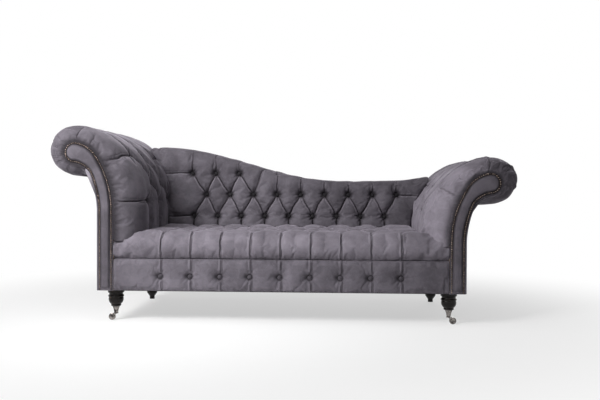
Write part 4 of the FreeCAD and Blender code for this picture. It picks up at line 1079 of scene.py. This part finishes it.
def makeFacing(name, node):
    bm = mergedCopy(node)
    stuff(bm, [f for f in bm.faces if f.normal.y < -squareOn], facing["steps"], -1, True)
    mesh = toMesh(bm, name)
    y, z = readPoints(mesh)[:, 1:].T
    # painted shade on the low edges of the facing, where the nails sit
    shade = facing["shade"] * unit((facing["groove"] - (frontY - y)) / facing["fade"]) ** facing["shadePower"]
    shade = shade * unit((z - railZ) / facing["footClear"] - 1)              # no nails along the foot
    addMask(mesh, "crease", shade)
    addMask(mesh, "lip", 0 * shade)
    piece = addPiece(name, mesh, "facingVelvet", node)
    print("facing made:", name)


makeFacing("leftArmFacing", "left_arm_facing")
makeFacing("rightArmFacing", "right_arm_facing")


# upholstery nails, driven by hand, so none sits quite straight
nail = {
    "radius": 0.0047, "steps": 10, "tilt": 0.10, "seat": 0.0008, "crownStart": 0.0017, "crownRun": 0.0019,
    "profile": ((0, 0), (1, 0), (0.97, 0.0007), (0.74, 0.0024), (0.38, 0.0033), (0, 0.0038)),
}
nailMesh = lathe(nail)
# crown mask for the painted rim shade and the painted crown highlight of each nail head
addMask(nailMesh, "crown", unit((readPoints(nailMesh)[:, 2] - nail["crownStart"]) / nail["crownRun"]))


def makeNails(name, node, seed):
    draw = np.random.default_rng(seed)
    face = Matrix.Rotation(math.pi / 2, 4, "X")
    places = []
    for centre in islandCentres(node):
        lean = Matrix.Rotation(draw.normal(0, nail["tilt"]), 4, "X")
        lean = lean @ Matrix.Rotation(draw.normal(0, nail["tilt"]), 4, "Z")
        places.append(Matrix.Translation((centre.x, frontY - nail["seat"], centre.z)) @ lean @ face)
    addPiece(name, scatter(name, nailMesh, places), "nailBronze", node)
    print("nails made:", name, len(places))


makeNails("leftArmNails", "left_arm_nails", seed=3)
makeNails("rightArmNails", "right_arm_nails", seed=4)


# plain covers on the outside of the arms and the back
outside = {"round": 0.003, "segments": 3, "seams": (-0.36, 0.36), "shade": 0.85, "seamHeight": 0.0004,
           "sharp": math.radians(40), "smooth": math.radians(35),
           "steps": ((0.003, 0.0016), (0.006, 0.0018), (0.012, 0.0016), (0.022, 0.0008))}


def makeOutside(name, node, seams=()):
    bm = mergedCopy(node)
    if not seams:                            # the panels of the back round their own edges
        sharp = [e for e in bm.edges if len(e.link_faces) == 2 and e.calc_face_angle(0) > outside["sharp"]]
        bmesh.ops.bevel(bm, geom=sharp, offset=outside["round"], offset_type="OFFSET", affect="EDGES",
                        segments=outside["segments"], profile=0.5, material=-1, clamp_overlap=True)
    for x in seams:
        geometry = bm.verts[:] + bm.edges[:] + bm.faces[:]
        bmesh.ops.bisect_plane(bm, geom=geometry, plane_co=(x, 0, 0), plane_no=(1, 0, 0))
    base = max(v.co.y for v in bm.verts)
    ends = [-farAway, *seams, farAway] if seams else []
    for low, high in zip(ends, ends[1:]):    # each panel of the back is lightly stuffed
        panel = [f for f in bm.faces if f.normal.y > squareOn and low < f.calc_center_median().x < high]
        stuff(bm, panel, outside["steps"], 1, False)
    mesh = toMesh(bm, name)
    if seams:                                # painted shade in the seams and round the edge
        shade = outside["shade"] * (np.abs(readPoints(mesh)[:, 1] - base) < outside["seamHeight"])
        addMask(mesh, "crease", shade)
        addMask(mesh, "lip", 0 * shade)
    piece = addPiece(name, mesh, "outsideVelvet", node)
    mesh.set_sharp_from_angle(angle=outside["smooth"])
    print("cover made:", name)


makeOutside("leftOutsideArm", "left_outside_arm")
makeOutside("rightOutsideArm", "right_outside_arm")
makeOutside("outsideBack", "outside_back", outside["seams"])


# seat springs with fewer faces, for they are hidden
springs = {"facesKept": 0.22}


def makeSprings():
    mesh = toMesh(mergedCopy("seat_springs"), "seatSprings")
    piece = addPiece("seatSprings", mesh, "springSteel", "seat_springs")
    fewer = piece.modifiers.new("fewer", "DECIMATE")
    fewer.ratio = springs["facesKept"]
    print("springs made:", len(mesh.polygons), "faces before the cut")


makeSprings()


# dust cover stretched under the frame
dustCover = {"sag": 0.007, "thick": 0.0010, "lift": 0.0005, "legRoom": 0.043, "columns": 72, "rows": 34}


def makeDustCover():
    low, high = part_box("dust_cover")
    size, middle = high - low, (low + high) / 2
    bm = bmesh.new()
    bmesh.ops.create_grid(bm, x_segments=dustCover["columns"], y_segments=dustCover["rows"], size=0.5)
    bmesh.ops.scale(bm, vec=(size.x, size.y, 1), verts=bm.verts)
    for vert in bm.verts:
        across, along = 2 * vert.co.x / size.x, 2 * vert.co.y / size.y
        vert.co.z = -dustCover["sag"] * (1 - across ** 2) * (1 - along ** 2)
    bmesh.ops.translate(bm, vec=(middle.x, middle.y, low.z + dustCover["lift"]), verts=bm.verts)
    legs = [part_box(name) for name in ("front_left_leg", "front_right_leg", "rear_left_leg", "rear_right_leg")]
    feet = [(a + b) / 2 for a, b in legs]
    close = [v for v in bm.verts if any((v.co.xy - foot.xy).length < dustCover["legRoom"] for foot in feet)]
    bmesh.ops.delete(bm, geom=close, context="VERTS")
    area = sum(f.calc_area() for f in bm.faces)
    piece = addPiece("dustCover", toMesh(bm, "dustCover"), "dustCloth", "dust_cover")
    thick = piece.modifiers.new("thickness", "SOLIDIFY")
    thick.thickness = dustCover["thick"]
    print("dust cover made:", round(area, 3), "square metres")


makeDustCover()

# finishes on the solids that keep their own shape
finishes = {"leg_wood": "legWood", "frame_wood": "frameWood", "caster_nickel": "casterNickel",
            "spring_steel": "springSteel", "hessian": "hessian", "webbing": "webbing"}
for node in nodes.values():
    for holder in node.material_slots:
        if holder.material and holder.material.name in finishes:
            holder.material = covers[finishes[holder.material.name]]
print("finishes set")

# floor, light and camera
white = (1, 1, 1, 1)
studio = {
    "floor": 14.0, "sky": 0.17, "shadow": 0.45, "near": 0.9, "clear": 2.6,
    "pale": ((0.93, 0.93, 0.93, 1), (0.96, 0.96, 0.96, 1)),
    "lamps": {                               # place, aim, size, power and spread of the beam
        "keyLight": ((-1.8, -2.2, 2.1), (-0.3, -0.1, 0.45), (1.3, 1.1), 26.0, 78.0),
        "fillLight": ((3.2, -3.4, 1.8), (0.0, 0.0, 0.5), (2.0, 1.6), 1.0, 180.0),
        "topLight": ((-0.5, -0.9, 3.0), (0.0, -0.2, 0.4), (2.4, 1.4), 18.0, 180.0),
        "rearLight": ((1.2, 3.6, 1.1), (0.0, 0.4, 0.4), (2.2, 1.4), 30.0, 180.0),
    },
}


def seenDirectly(tree):
    rays = addNode(tree, "LightPath").outputs
    seen = math2(tree, "MAXIMUM", rays["Is Camera Ray"], rays["Is Glossy Ray"])
    return math2(tree, "MAXIMUM", seen, rays["Is Transmission Ray"])


def mixShaders(tree, factor, a, b):
    return addNode(tree, "MixShader", {"Fac": factor, 1: a.outputs[0], 2: b.outputs[0]}).outputs["Shader"]


def makeFloor():
    bm = bmesh.new()
    bmesh.ops.create_grid(bm, x_segments=2, y_segments=2, size=studio["floor"])
    mesh = toMesh(bm, "studioFloor")
    floor = bpy.data.objects.new("studioFloor", mesh)
    scene.collection.objects.link(floor)
    material, tree, shader = newMaterial("paleFloor")
    place = addNode(tree, "TexCoord").outputs["Object"]
    tone = mixColour(tree, noise(tree, place, scale=3.0, detail=3.0), *studio["pale"])
    setInputs(shader, {"Base Color": tone, "Roughness": 0.9, "Specular IOR Level": 0.1})
    # seen by the camera the floor is white paper that keeps a part of the shadow near the object
    far = addNode(tree, "VectorMath", {0: place}, operation="LENGTH").outputs["Value"]
    share = ramp(tree, far, (studio["near"], studio["clear"], 1 - studio["shadow"], 1.0))
    paper = addNode(tree, "Emission", {"Color": white, "Strength": 1.0})
    surface = mixShaders(tree, math2(tree, "MULTIPLY", seenDirectly(tree), share), shader, paper)
    setInputs(next(n for n in tree.nodes if n.type == "OUTPUT_MATERIAL"), {"Surface": surface})
    mesh.materials.append(material)


def makeWorld():
    world = bpy.data.worlds.new("studioSky")
    scene.world = world
    world.use_nodes = True
    tree = world.node_tree
    tree.nodes.clear()
    lit, seen = (addNode(tree, "Background", {"Color": white, "Strength": power})
                 for power in (studio["sky"], 1.0))
    addNode(tree, "OutputWorld", {"Surface": mixShaders(tree, seenDirectly(tree), lit, seen)})


def makeLamp(name, place, aim, size, power, beam):
    lamp = bpy.data.lights.new(name, "AREA")
    lamp.shape = "RECTANGLE"
    lamp.size, lamp.size_y = size
    lamp.energy = power
    lamp.spread = math.radians(beam)
    holder = bpy.data.objects.new(name, lamp)
    holder.location = place
    holder.rotation_euler = (Vector(aim) - Vector(place)).to_track_quat("-Z", "Y").to_euler()
    scene.collection.objects.link(holder)


camera = {"place": (0.284, -3.928, 0.6628), "yaw": 0.0527, "pitch": 0.0162, "roll": 0.0035, "lens": 43.51,
          "sensor": 36.0}


def makeCamera():
    data = bpy.data.cameras.new("photoCamera")
    data.sensor_width = camera["sensor"]
    data.lens = camera["lens"]
    holder = bpy.data.objects.new("photoCamera", data)
    scene.collection.objects.link(holder)
    turn = Matrix.Rotation(camera["yaw"], 4, "Z") @ Matrix.Rotation(math.pi / 2 - camera["pitch"], 4, "X")
    holder.matrix_world = Matrix.Translation(camera["place"]) @ turn @ Matrix.Rotation(camera["roll"], 4, "Z")
    scene.camera = holder


makeFloor()
makeWorld()
for name, values in studio["lamps"].items():
    makeLamp(name, *values)
makeCamera()
scene.view_settings.view_transform = "Standard"
print("stage set")
